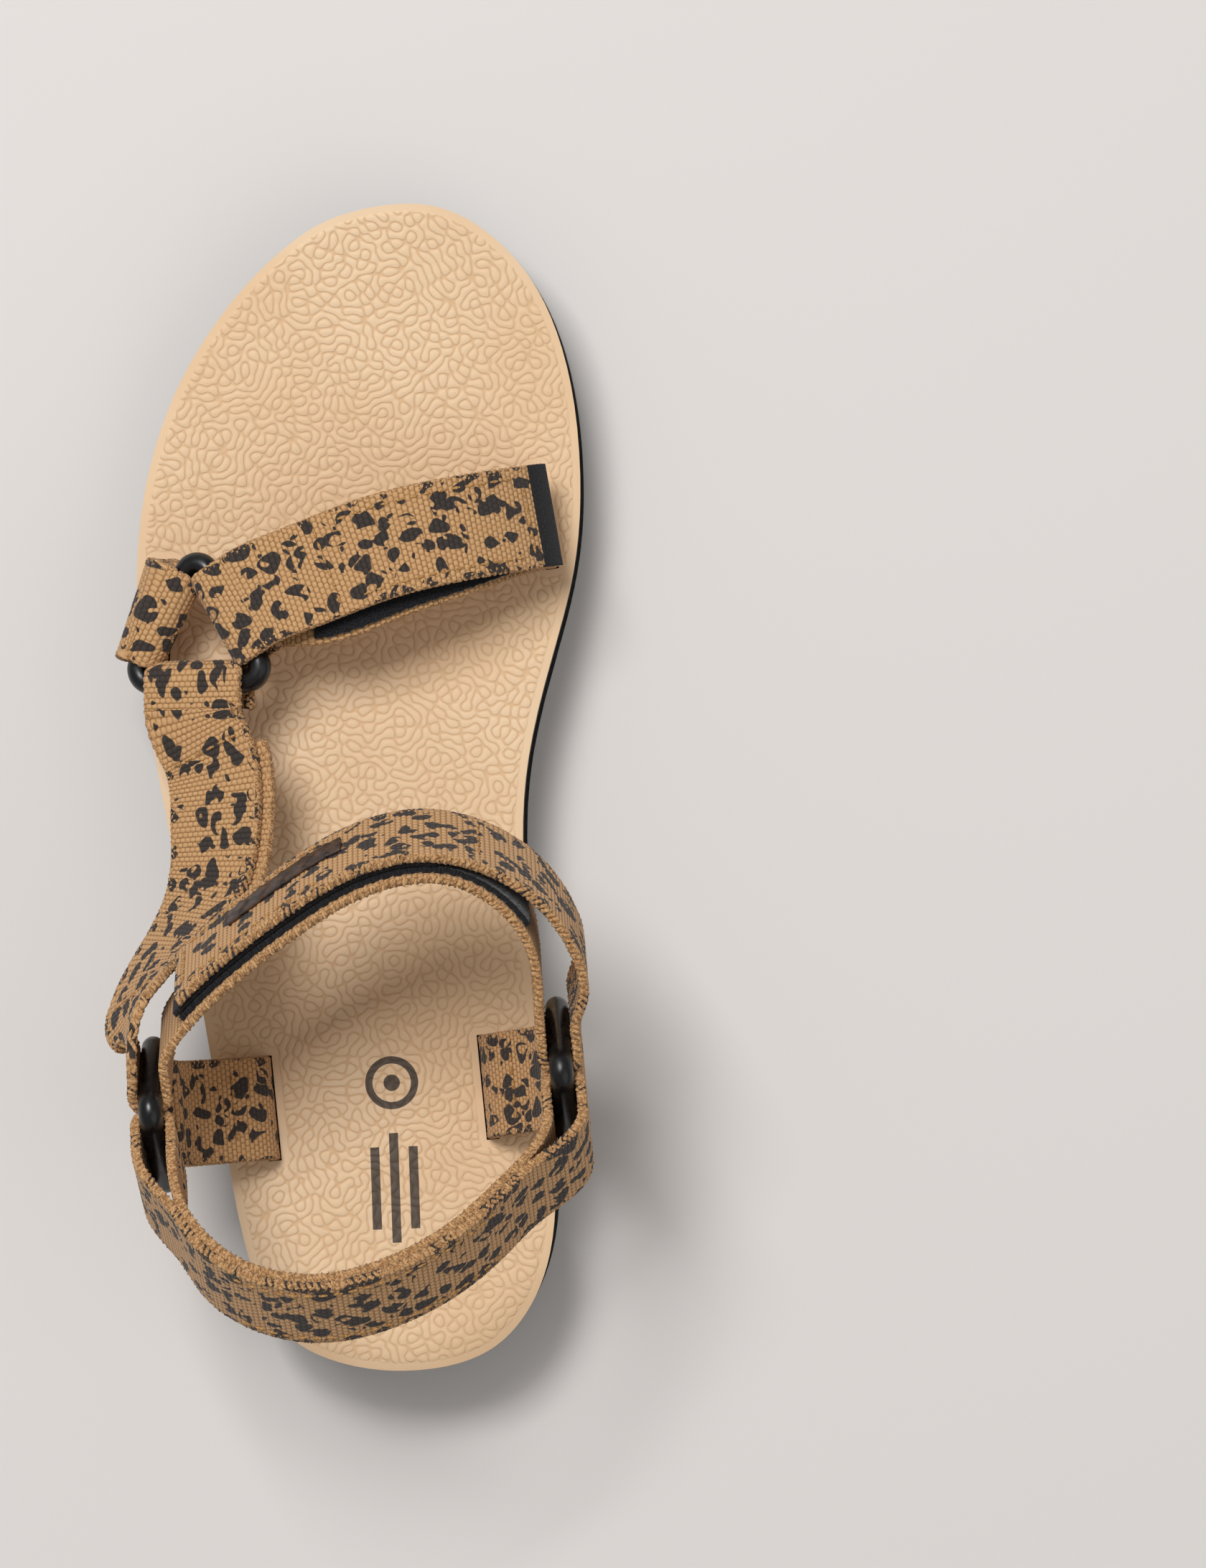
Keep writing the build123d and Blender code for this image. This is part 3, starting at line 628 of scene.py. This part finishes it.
def moulded_foam(colours):
    """Compression-moulded EVA: matte, faintly mottled, with painted shade darkening the grooves of its
    embossing.
    """
    material, tree, shader = surface("eva_foam_moulded", Roughness=0.62, Specular_IOR_Level=0.35,
                                     Subsurface_Weight=0.0)
    spot = add(tree, "ShaderNodeTexCoord").outputs["Object"]
    broad = add(tree, "ShaderNodeTexNoise", {"Vector": spot, "Scale": 22.0, "Detail": 3.0}).outputs[0]
    fine = add(tree, "ShaderNodeTexNoise", {"Vector": spot, "Scale": 2600.0, "Detail": 2.0}).outputs[0]
    wave = add(tree, "ShaderNodeAttribute", attribute_name="relief").outputs["Fac"]
    shown = add(tree, "ShaderNodeAttribute", attribute_name="embossed").outputs["Fac"]
    line = ramped(tree, maths(tree, "ABSOLUTE", wave), 0.04, 0.5, 1.0, 0.0)
    groove = maths(tree, "MULTIPLY", shown, line)
    skin = mixed(tree, ramped(tree, broad, 0.3, 0.7), linear(colours.foam), linear(colours.foam_warm))
    # Painted shade: the foam darkens towards foam_shade in the grooves of the embossing.
    skin = mixed(tree, groove, skin, linear(colours.foam_shade))
    skin = mixed(tree, heel_mark(tree, spot), skin, linear(colours.ink))
    tree.links.new(skin, shader.inputs["Base Color"])
    height = maths(tree, "MULTIPLY_ADD", groove, -1.0, maths(tree, "MULTIPLY", fine, 0.12))
    bump(tree, shader, height, 0.2 * MM, 0.6)
    return material


def heel_mark(tree, spot):
    """A plain printed mark in the heel: a ring above three bars, dark on the foam."""
    place = add(tree, "ShaderNodeSeparateXYZ", {0: spot})
    x = maths(tree, "ADD", place.outputs[0], 0.5 * MM)
    y = place.outputs[1]
    down = maths(tree, "ADD", y, 65 * MM)
    from_middle = maths(tree, "SQRT", maths(tree, "ADD", maths(tree, "POWER", x, 2.0),
                                            maths(tree, "POWER", down, 2.0)))
    ring = maths(tree, "LESS_THAN", maths(tree, "ABSOLUTE", maths(tree, "SUBTRACT", from_middle, 5 * MM)),
                 0.8 * MM)
    whole = maths(tree, "MAXIMUM", ring, maths(tree, "LESS_THAN", from_middle, 1.8 * MM))
    for middle, half_long in ((-4.2, 9.0), (0.0, 12.0), (4.2, 9.0)):
        off = maths(tree, "ABSOLUTE", maths(tree, "SUBTRACT", x, middle * MM))
        along = maths(tree, "ABSOLUTE", maths(tree, "ADD", y, 88 * MM))
        bar = maths(tree, "MULTIPLY", maths(tree, "LESS_THAN", off, 1.0 * MM),
                    maths(tree, "LESS_THAN", along, half_long * MM))
        whole = maths(tree, "MAXIMUM", whole, bar)
    low = maths(tree, "GREATER_THAN", place.outputs[2], 24 * MM)
    return maths(tree, "MULTIPLY", maths(tree, "MULTIPLY", whole, low), 0.9)


def moulded_rubber(name, code, roughness):
    """Black carbon-filled rubber or foam: matte, with a fine cast grain."""
    material, tree, shader = surface(name, Roughness=roughness, Specular_IOR_Level=0.4)
    spot = add(tree, "ShaderNodeTexCoord").outputs["Object"]
    grain = add(tree, "ShaderNodeTexNoise", {"Vector": spot, "Scale": 900.0, "Detail": 3.0}).outputs[0]
    colour = mixed(tree, ramped(tree, grain, 0.35, 0.7), linear(code), linear("#2A2A2B"))
    tree.links.new(colour, shader.inputs["Base Color"])
    bump(tree, shader, grain, 0.08 * MM, 0.5)
    return material


def ring_plastic():
    """Moulded acetal: black and smooth, with a satin gloss and slight scuffs."""
    material, tree, shader = surface("acetal_moulded_black", Specular_IOR_Level=0.5, IOR=1.48)
    spot = add(tree, "ShaderNodeTexCoord").outputs["Object"]
    scuff = add(tree, "ShaderNodeTexNoise", {"Vector": spot, "Scale": 320.0, "Detail": 4.0}).outputs[0]
    tree.links.new(mixed(tree, ramped(tree, scuff, 0.5, 0.75), linear("#0C0C0E"), linear("#17181B")),
                   shader.inputs["Base Color"])
    tree.links.new(ramped(tree, scuff, 0.3, 0.75, 0.24, 0.42), shader.inputs["Roughness"])
    bump(tree, shader, scuff, 0.03 * MM, 0.4)
    return material


def badge_rubber(colours):
    """Soft moulded PVC: dark brown, satin, a little uneven."""
    material, tree, shader = surface("soft_pvc_moulded", Roughness=0.38, Specular_IOR_Level=0.5)
    spot = add(tree, "ShaderNodeTexCoord").outputs["Object"]
    cloud = add(tree, "ShaderNodeTexNoise", {"Vector": spot, "Scale": 420.0, "Detail": 2.0}).outputs[0]
    tree.links.new(mixed(tree, ramped(tree, cloud, 0.4, 0.65), linear(colours.badge), linear("#4A3326")),
                   shader.inputs["Base Color"])
    bump(tree, shader, cloud, 0.1 * MM, 0.4)
    return material


_made = {}


def finish(key):
    """Each material once, by its key."""
    scene = bpy.context.scene
    colours, sizes = scene.sandal_colours, scene.sandal_sizes
    makers = {
        "print": lambda: webbing("polyester_webbing_printed", colours, sizes, True),
        "plain": lambda: webbing("polyester_webbing_plain", colours, sizes, False),
        "plait": lambda: plain_yarn("polyester_yarn_plaited", colours.yarn, colours.yarn_shade, 2200.0),
        "thread": lambda: plain_yarn("polyester_thread", colours.thread, colours.yarn_shade, 2600.0),
        "loop": lambda: dark_tape("nylon_loop_tape", "#0D0D0F", 0.35, 0.9),
        "hook": lambda: dark_tape("nylon_hook_tape", "#121214", 0.08, 0.65),
        "foam": lambda: moulded_foam(colours),
        "tread": lambda: moulded_rubber("rubber_moulded_black", "#131313", 0.6),
        "midsole": lambda: moulded_rubber("eva_foam_black", "#1B1A19", 0.85),
        "ring": ring_plastic,
        "badge": lambda: badge_rubber(colours),
    }
    if key not in _made:
        _made[key] = makers[key]()
    return _made[key]


def painted(piece, *keys):
    """Gives a piece its materials, in slot order."""
    piece.data.materials.clear()
    for key in keys:
        piece.data.materials.append(finish(key))
    return piece


# ---- settings -----------------------------------------------------------------------------------
def size_setting(label, text, default):
    return bpy.props.FloatProperty(
        name=label, description=text, default=default * MM, min=0.01 * MM, unit="LENGTH",
        subtype="DISTANCE", precision=5)


def colour_setting(label, text, default):
    return bpy.props.StringProperty(name=label, description=text, default=default)


class SANDAL_PG_sizes(bpy.types.PropertyGroup):
    pick_pitch: size_setting("Pick pitch", "One rib of the weave, along the strap", 1.15)
    pick_height: size_setting("Pick height", "How far a rib stands up", 0.2)
    plait_pitch: size_setting("Plait pitch", "One full turn of the plaited edge", 4.2)
    yarn_radius: size_setting("Yarn radius", "Half the thickness of an edge yarn", 0.5)
    stitch_length: size_setting("Stitch length", "One stitch of the sewing thread", 2.3)
    maze_pitch: size_setting("Maze pitch", "Wavelength of the footbed's embossing", 3.2)
    maze_depth: size_setting("Maze depth", "Depth of the footbed's grooves", 0.3)


class SANDAL_PG_colours(bpy.types.PropertyGroup):
    yarn: colour_setting("Yarn", "Tan yarn in the light", "#CBA172")
    yarn_warm: colour_setting("Warm yarn", "Tan yarn where it is warmer", "#BB8E5E")
    # Painted shade between the weave's ribs; the plait and thread use it as a random fibre tone.
    yarn_shade: colour_setting("Yarn shade", "Between the ribs", "#8C6238")
    ink: colour_setting("Ink", "Printed blotches", "#2E2B2C")
    # Painted shade on the ink between the weave's ribs.
    ink_shade: colour_setting("Ink shade", "Printed blotches between the ribs", "#1E1A19")
    thread: colour_setting("Thread", "Sewing thread", "#C99C5E")
    foam: colour_setting("Foam", "The footbed's skin", "#EACCA8")
    foam_warm: colour_setting("Warm foam", "Warmer patches of the footbed", "#E3C098")
    # Painted shade at the bottom of the embossing's grooves.
    foam_shade: colour_setting("Foam grooves", "The bottom of the embossing", "#DBB68D")
    badge: colour_setting("Badge", "The instep badge", "#2B211C")
    floor: colour_setting("Floor", "Studio floor", "#DEDAD7")


def sizes():
    return bpy.context.scene.sandal_sizes


def webbing_piece(node, route, body, top, bottom, first=0.0, join=None):
    """A whole strap: its woven band and plaited edges, riding on a body, or, when join is given, left in
    place without a body.
    """
    piece = painted(band(node + "_webbing", route, WIDTH, THICK, weave_relief, sizes(), first=first),
                    top, bottom)
    made = [piece, painted(selvedges(node + "_selvedges", route, WIDTH, sizes()), "plait")]
    for item in made:
        if join:
            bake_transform(item)
        else:
            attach(item, body)
    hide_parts(node)
    return piece


def tape_piece(node, route, body, key, relief):
    """A closing tape on a strap."""
    piece = painted(band(node + "_woven", route, TAPE_WIDTH, TAPE_THICK, relief, sizes()), key, key)
    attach(piece, body)
    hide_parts(node)
    return piece


def sewn(node, route, body, rows, lift=THICK / 2 + 0.22):
    """Sewing thread on a strap."""
    piece = painted(stitches(node + "_stitches", route, rows, sizes(), lift), "thread")
    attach(piece, body)
    return piece


def turn_route(ring, angle):
    place = bar_frame(ring, angle)
    return flat_route(place, turn(LOOP_LEG, LOOP_LEG)).narrowed(place[0], place[1]), place


# ---- operators ----------------------------------------------------------------------------------
class SANDAL_OT_sole(bpy.types.Operator):
    """Tread, midsole and rings: the frame's own parts, given their finishes"""

    bl_idname = "sandal.sole"
    bl_label = "Sole and rings"

    def execute(self, context):
        for node, key in (("outsole", "tread"), ("midsole", "midsole"), ("toe_ring", "ring"),
                          ("lateral_ring", "ring"), ("medial_ring", "ring")):
            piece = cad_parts[node]
            for slot in piece.material_slots:
                slot.material = finish(key)
        return {"FINISHED"}


def maze(rows, columns, step, pitch):
    """An even random labyrinth: noise that keeps one wavelength only."""
    noise = np.random.default_rng(11).normal(size=(rows, columns))
    tall, wide = np.meshgrid(np.fft.fftfreq(rows, step), np.fft.fftfreq(columns, step), indexing="ij")
    wave = np.hypot(tall, wide) * pitch
    field = np.fft.ifft2(np.fft.fft2(noise) * np.exp(-((wave - 1) / 0.2) ** 2)).real
    swell = np.fft.ifft2(np.fft.fft2(field ** 2) * np.exp(-(wave * 1.1) ** 2)).real
    return field / np.sqrt(2 * np.maximum(swell, 0.15 * field.var()))


class SANDAL_OT_footbed(bpy.types.Operator):
    """The moulded footbed: a rounded rim and slots, and an embossed maze over its top"""

    bl_idname = "sandal.footbed"
    bl_label = "Footbed"

    def execute(self, context):
        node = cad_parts["footbed"]
        shell = bmesh.new()
        shell.from_mesh(node.data)
        bmesh.ops.remove_doubles(shell, verts=shell.verts, dist=0.005 * MM)
        tree = BVHTree.FromBMesh(shell)
        walls = shell.copy()
        flat = [f for f in walls.faces if abs(f.normal.z) > 0.7]
        bmesh.ops.delete(walls, geom=flat, context="FACES")
        wall_tree = BVHTree.FromBMesh(walls)
        mesh = bpy.data.meshes.new("footbed_rim")
        shell.to_mesh(mesh)
        rim = new_object("footbed_rim", mesh)
        rounded = rim.modifiers.new("rounded rim", "BEVEL")
        rounded.width = 0.9 * MM
        rounded.segments = 4
        rounded.limit_method = "ANGLE"
        rounded.angle_limit = radians(50)
        baked(rim)
        rim.data.polygons.foreach_set("use_smooth", [True] * len(rim.data.polygons))
        skin = self.embossed(tree, wall_tree)
        for piece in (rim, skin):
            painted(piece, "foam")
            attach(piece, "base")
        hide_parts("footbed")
        walls.free()
        shell.free()
        return {"FINISHED"}

    def embossed(self, tree, wall_tree):
        """A fine grid over the footbed that sinks below its surface near every edge."""
        low, high = [Vector(corner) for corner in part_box("footbed")]
        step = 0.47
        columns = int((high.x - low.x) / MM / step)
        rows = int((high.y - low.y) / MM / step)
        field = maze(rows + 1, columns + 1, step, sizes().maze_pitch / MM)
        grid = bmesh.new()
        bmesh.ops.create_grid(grid, x_segments=columns, y_segments=rows, size=0.5)
        relief = grid.verts.layers.float.new("relief")
        shown = grid.verts.layers.float.new("embossed")
        gone = []
        depth = sizes().maze_depth
        for vert in grid.verts:
            share_x, share_y = vert.co.x + 0.5, vert.co.y + 0.5
            x = low.x + (high.x - low.x) * share_x
            y = low.y + (high.y - low.y) * share_y
            hit, normal, _, _ = tree.ray_cast(Vector((x, y, high.z + 0.01)), Vector((0, 0, -1)))
            if hit is None or normal.z < 0.7 or hit.z < 20 * MM:
                gone.append(vert)
                continue
            away = wall_tree.find_nearest(hit, 4 * MM)[3]
            away = 4 * MM if away is None else away
            rise = min(max((away / MM - 1.0) / 1.0, 0), 1)
            rise = rise * rise * (3 - 2 * rise)
            wave = field[round(share_y * rows), round(share_x * columns)]
            ridge = min(abs(wave) / 0.9, 1)
            vert[relief] = wave
            vert[shown] = rise
            vert.co = (x, y, hit.z + 0.03 * MM + depth * ridge * rise - 0.3 * MM * (1 - rise))
        bmesh.ops.delete(grid, geom=gone, context="VERTS")
        for face in grid.faces:
            face.smooth = True
        mesh = bpy.data.meshes.new("footbed_embossing")
        grid.to_mesh(mesh)
        grid.free()
        return new_object("footbed_embossing", mesh)


class SANDAL_OT_toe_strap(bpy.types.Operator):
    """The forefoot strap: lower layer, turn, opening layer, tapes and stitches"""

    bl_idname = "sandal.toe_strap"
    bl_label = "Forefoot strap"

    def execute(self, context):
        under, over = toe_routes()
        webbing_piece("toe_strap", under, "base", "plain", "print", first=210)
        webbing_piece("toe_tab", over, "toe_flap", "print", "plain", first=5)
        bent, place = turn_route("toe", TOE_BAR)
        webbing_piece("toe_strap_turn", bent, None, "print", "plain", first=-18,
                      join=("toe_flap", place[0] - place[2] * 3, place[0] + place[2] * 3))
        tape_piece("toe_loop_tape", under.moved(TAPE_OFFSET, 0, 0.14, 0.74), "base", "loop", pile_relief)
        tape_piece("toe_hook_tape", over.moved(-TAPE_OFFSET, 0, 0.17, 1, HOOK_OVERHANG), "toe_flap",
                   "hook", rib_relief)
        end = over.length
        fold = band("toe_tab_fold", over.moved(THICK / 2 + 0.1, 0, 1 - FOLD / end, 1, 0.3), WIDTH + 0.4, 0.5,
                    rib_relief, sizes())
        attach(painted(fold, "hook", "hook"), "toe_flap")
        sewn("toe_tab", over, "toe_flap", [
            ((19, -9), (19, 9)), ((end - 8.2, -8.4), (end - 8.2, 8.4)),
            ((24, 8.6), (end - 9, 8.6)), ((24, -8.6), (end - 9, -8.6))])
        return {"FINISHED"}


class SANDAL_OT_side_strap(bpy.types.Operator):
    """The side strap, its lining and its turn on the toe ring, and the forefoot anchor"""

    bl_idname = "sandal.side_strap"
    bl_label = "Side strap"

    def execute(self, context):
        route = side_route()
        webbing_piece("side_strap", route, "base", "print", "plain", first=320)
        bent, _ = turn_route("toe", SIDE_BAR)
        webbing_piece("side_strap_turn", bent, "base", "print", "plain", first=300)
        lining = route.moved(-LAYER - 0.1, 2.0, 0.13, 0.62)
        webbing_piece("side_strap_lining", lining, "base", "plain", "plain")
        sewn("side_strap", route, "base", [((9.5, -9), (9.5, 9)), ((70, -8), (70, 8))])
        anchor = toe_anchor_route()
        webbing_piece("toe_anchor", anchor, "base", "print", "plain", first=420)
        return {"FINISHED"}


class SANDAL_OT_instep_strap(bpy.types.Operator):
    """The instep strap: lower layer, turn, opening layer, tapes, badge and stitches"""

    bl_idname = "sandal.instep_strap"
    bl_label = "Instep strap"

    def execute(self, context):
        lower, upper = instep_lines()
        place = bar_frame("medial", INSTEP_BAR)
        outer = bar_frame("lateral", INSTEP_BAR)
        around = turn(LOOP_LEG, TURNED_END) * (1, -1) - (0, RING_SPAN)
        lower_route = flat_route(place, np.vstack([lower, around[1:]])).narrowed(outer[0], outer[1])
        upper_route = flat_route(place, upper)
        webbing_piece("instep_strap", lower_route, "base", "plain", "print", first=520)
        tab_share = 1 - HOOK_OVERHANG / upper_route.length
        tab = upper_route.moved(0, 0, 0, tab_share)
        webbing_piece("instep_tab", tab, "instep_flap", "print", "plain", first=640)
        bent, _ = turn_route("medial", INSTEP_BAR)
        webbing_piece("instep_strap_turn", bent, None, "print", "plain", first=620,
                      join=("instep_flap", place[0] - place[2] * 3, place[0] + place[2] * 3))
        lower_only = flat_route(place, lower)
        tape_piece("instep_loop_tape", lower_only.moved(TAPE_OFFSET, 0, 0.2, 0.90), "base", "loop",
                   pile_relief)
        tape_piece("instep_hook_tape", upper_route.moved(-TAPE_OFFSET, 0, 0.45, 1), "instep_flap",
                   "hook", rib_relief)
        self.badge(upper_route)
        end = tab.length
        sewn("instep_tab", tab, "instep_flap", [
            ((end - 2.6, -8.4), (end - 2.6, 8.4)), ((end - 40, 8.8), (end - 3, 8.8)),
            ((end - 40, -8.8), (end - 3, -8.8)), ((48, -8.5), (48, 8.5))])
        return {"FINISHED"}

    def badge(self, upper):
        """A plain moulded bar with raised lozenges, near the strap's front edge."""
        half = 14.5 / upper.length
        route = upper.moved(THICK / 2 + 0.3, -3.0, 0.73 - half, 0.73 + half)
        piece = painted(band("strap_badge_moulded", route, 6.0, 0.8, bead_relief, sizes(), 0.3),
                        "badge", "badge")
        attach(piece, "instep_flap")
        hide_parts("strap_badge")


class SANDAL_OT_heel_strap(bpy.types.Operator):
    """The heel strap's two layers and their turns round the rings' rear bars"""

    bl_idname = "sandal.heel_strap"
    bl_label = "Heel strap"

    def execute(self, context):
        place = bar_frame("medial", HEEL_BAR)
        outer, inner = [flat_route(place, line) for line in heel_lines()]
        webbing_piece("heel_strap_outer", outer, "heel_sling", "print", "plain", first=760)
        webbing_piece("heel_strap_inner", inner, "heel_sling", "plain", "print", first=900)
        sewn("heel_strap_outer", outer, "heel_sling", [
            ((30, 8.8), (outer.length - 34, 8.8)), ((30, -8.8), (outer.length - 34, -8.8))])
        for ring, first in (("medial", 1040), ("lateral", 1080)):
            bent, bar = turn_route(ring, HEEL_BAR)
            webbing_piece("heel_turn_" + ring, bent, None, "print", "plain", first=first,
                          join=("heel_sling", bar[0], bar[0] + bar[1] * LOOP_LEG))
        return {"FINISHED"}


class SANDAL_OT_anchors(bpy.types.Operator):
    """The two anchors that hold the ankle rings"""

    bl_idname = "sandal.anchors"
    bl_label = "Ankle anchors"

    def execute(self, context):
        for ring, outward, inward, first in (("lateral", -1, -21.8, 1120), ("medial", 1, -17.0, 1220)):
            route = anchor_route(ring, outward, inward)
            webbing_piece(ring + "_anchor", route, "base", "print", "plain", first=first)
            sewn(ring + "_anchor", route, "base", [((24, -8), (24, 8))])
        return {"FINISHED"}


class SANDAL_OT_stage(bpy.types.Operator):
    """Pale floor, soft studio light and a camera straight above"""

    bl_idname = "sandal.stage"
    bl_label = "Stage"

    def execute(self, context):
        ground = bmesh.new()
        bmesh.ops.create_grid(ground, x_segments=1, y_segments=1, size=2.5)
        mesh = bpy.data.meshes.new("floor")
        ground.to_mesh(mesh)
        ground.free()
        floor = new_object("floor", mesh)
        floor.location.z = -0.0002
        material, _, shader = surface("floor_paper", Roughness=0.95, Specular_IOR_Level=0.1)
        shader.inputs["Base Color"].default_value = linear(context.scene.sandal_colours.floor)
        floor.data.materials.append(material)
        self.lamp("key", (-0.45, 0.8, 1.9), 0.75, 32.0)
        self.lamp("fill", (1.1, -0.7, 1.5), 1.6, 4.5)
        world = bpy.data.worlds.new("studio")
        context.scene.world = world
        context.scene.view_settings.view_transform = "Standard"
        world.use_nodes = True
        back = world.node_tree.nodes["Background"]
        back.inputs[0].default_value = linear("#F6F4F2")
        back.inputs[1].default_value = 0.34
        camera = bpy.data.cameras.new("camera")
        camera.sensor_fit = "VERTICAL"
        camera.sensor_height = 24.0
        camera.lens = 24.0 / (2 * tan(radians(15.97 / 2)))
        holder = bpy.data.objects.new("camera", camera)
        holder.location = (0.048, -0.00128, 1.25)
        holder.rotation_euler = (0, 0, radians(-2.0))
        context.scene.collection.objects.link(holder)
        context.scene.camera = holder
        return {"FINISHED"}

    def lamp(self, name, place, size, power):
        light = bpy.data.lights.new(name, "AREA")
        light.size = size
        light.energy = power
        holder = bpy.data.objects.new(name, light)
        holder.location = place
        holder.rotation_euler = (-Vector(place)).to_track_quat("-Z", "Y").to_euler()
        bpy.context.scene.collection.objects.link(holder)


PIECES = (SANDAL_OT_sole, SANDAL_OT_footbed, SANDAL_OT_toe_strap, SANDAL_OT_side_strap,
          SANDAL_OT_instep_strap, SANDAL_OT_heel_strap, SANDAL_OT_anchors, SANDAL_OT_stage)


class SANDAL_PT_panel(bpy.types.Panel):
    """Sizes, colours and one button for each group of pieces"""

    bl_idname = "SANDAL_PT_panel"
    bl_label = "Sandal"
    bl_space_type = "VIEW_3D"
    bl_region_type = "UI"
    bl_category = "Sandal"

    def draw(self, context):
        for group in (context.scene.sandal_sizes, context.scene.sandal_colours):
            for key in group.bl_rna.properties.keys():
                if key not in ("rna_type", "name"):
                    self.layout.prop(group, key)
        for piece in PIECES:
            self.layout.operator(piece.bl_idname)


CLASSES = (SANDAL_PG_sizes, SANDAL_PG_colours) + PIECES + (SANDAL_PT_panel,)


def register():
    for item in CLASSES:
        bpy.utils.register_class(item)
    bpy.types.Scene.sandal_sizes = bpy.props.PointerProperty(type=SANDAL_PG_sizes)
    bpy.types.Scene.sandal_colours = bpy.props.PointerProperty(type=SANDAL_PG_colours)


def unregister():
    del bpy.types.Scene.sandal_sizes
    del bpy.types.Scene.sandal_colours
    for item in reversed(CLASSES):
        bpy.utils.unregister_class(item)


def main():
    register()
    bpy.ops.sandal.sole()
    bpy.ops.sandal.footbed()
    bpy.ops.sandal.toe_strap()
    bpy.ops.sandal.side_strap()
    bpy.ops.sandal.instep_strap()
    bpy.ops.sandal.heel_strap()
    bpy.ops.sandal.anchors()
    bpy.ops.sandal.stage()
    bpy.context.view_layer.update()


if __name__ == "__main__":
    main()
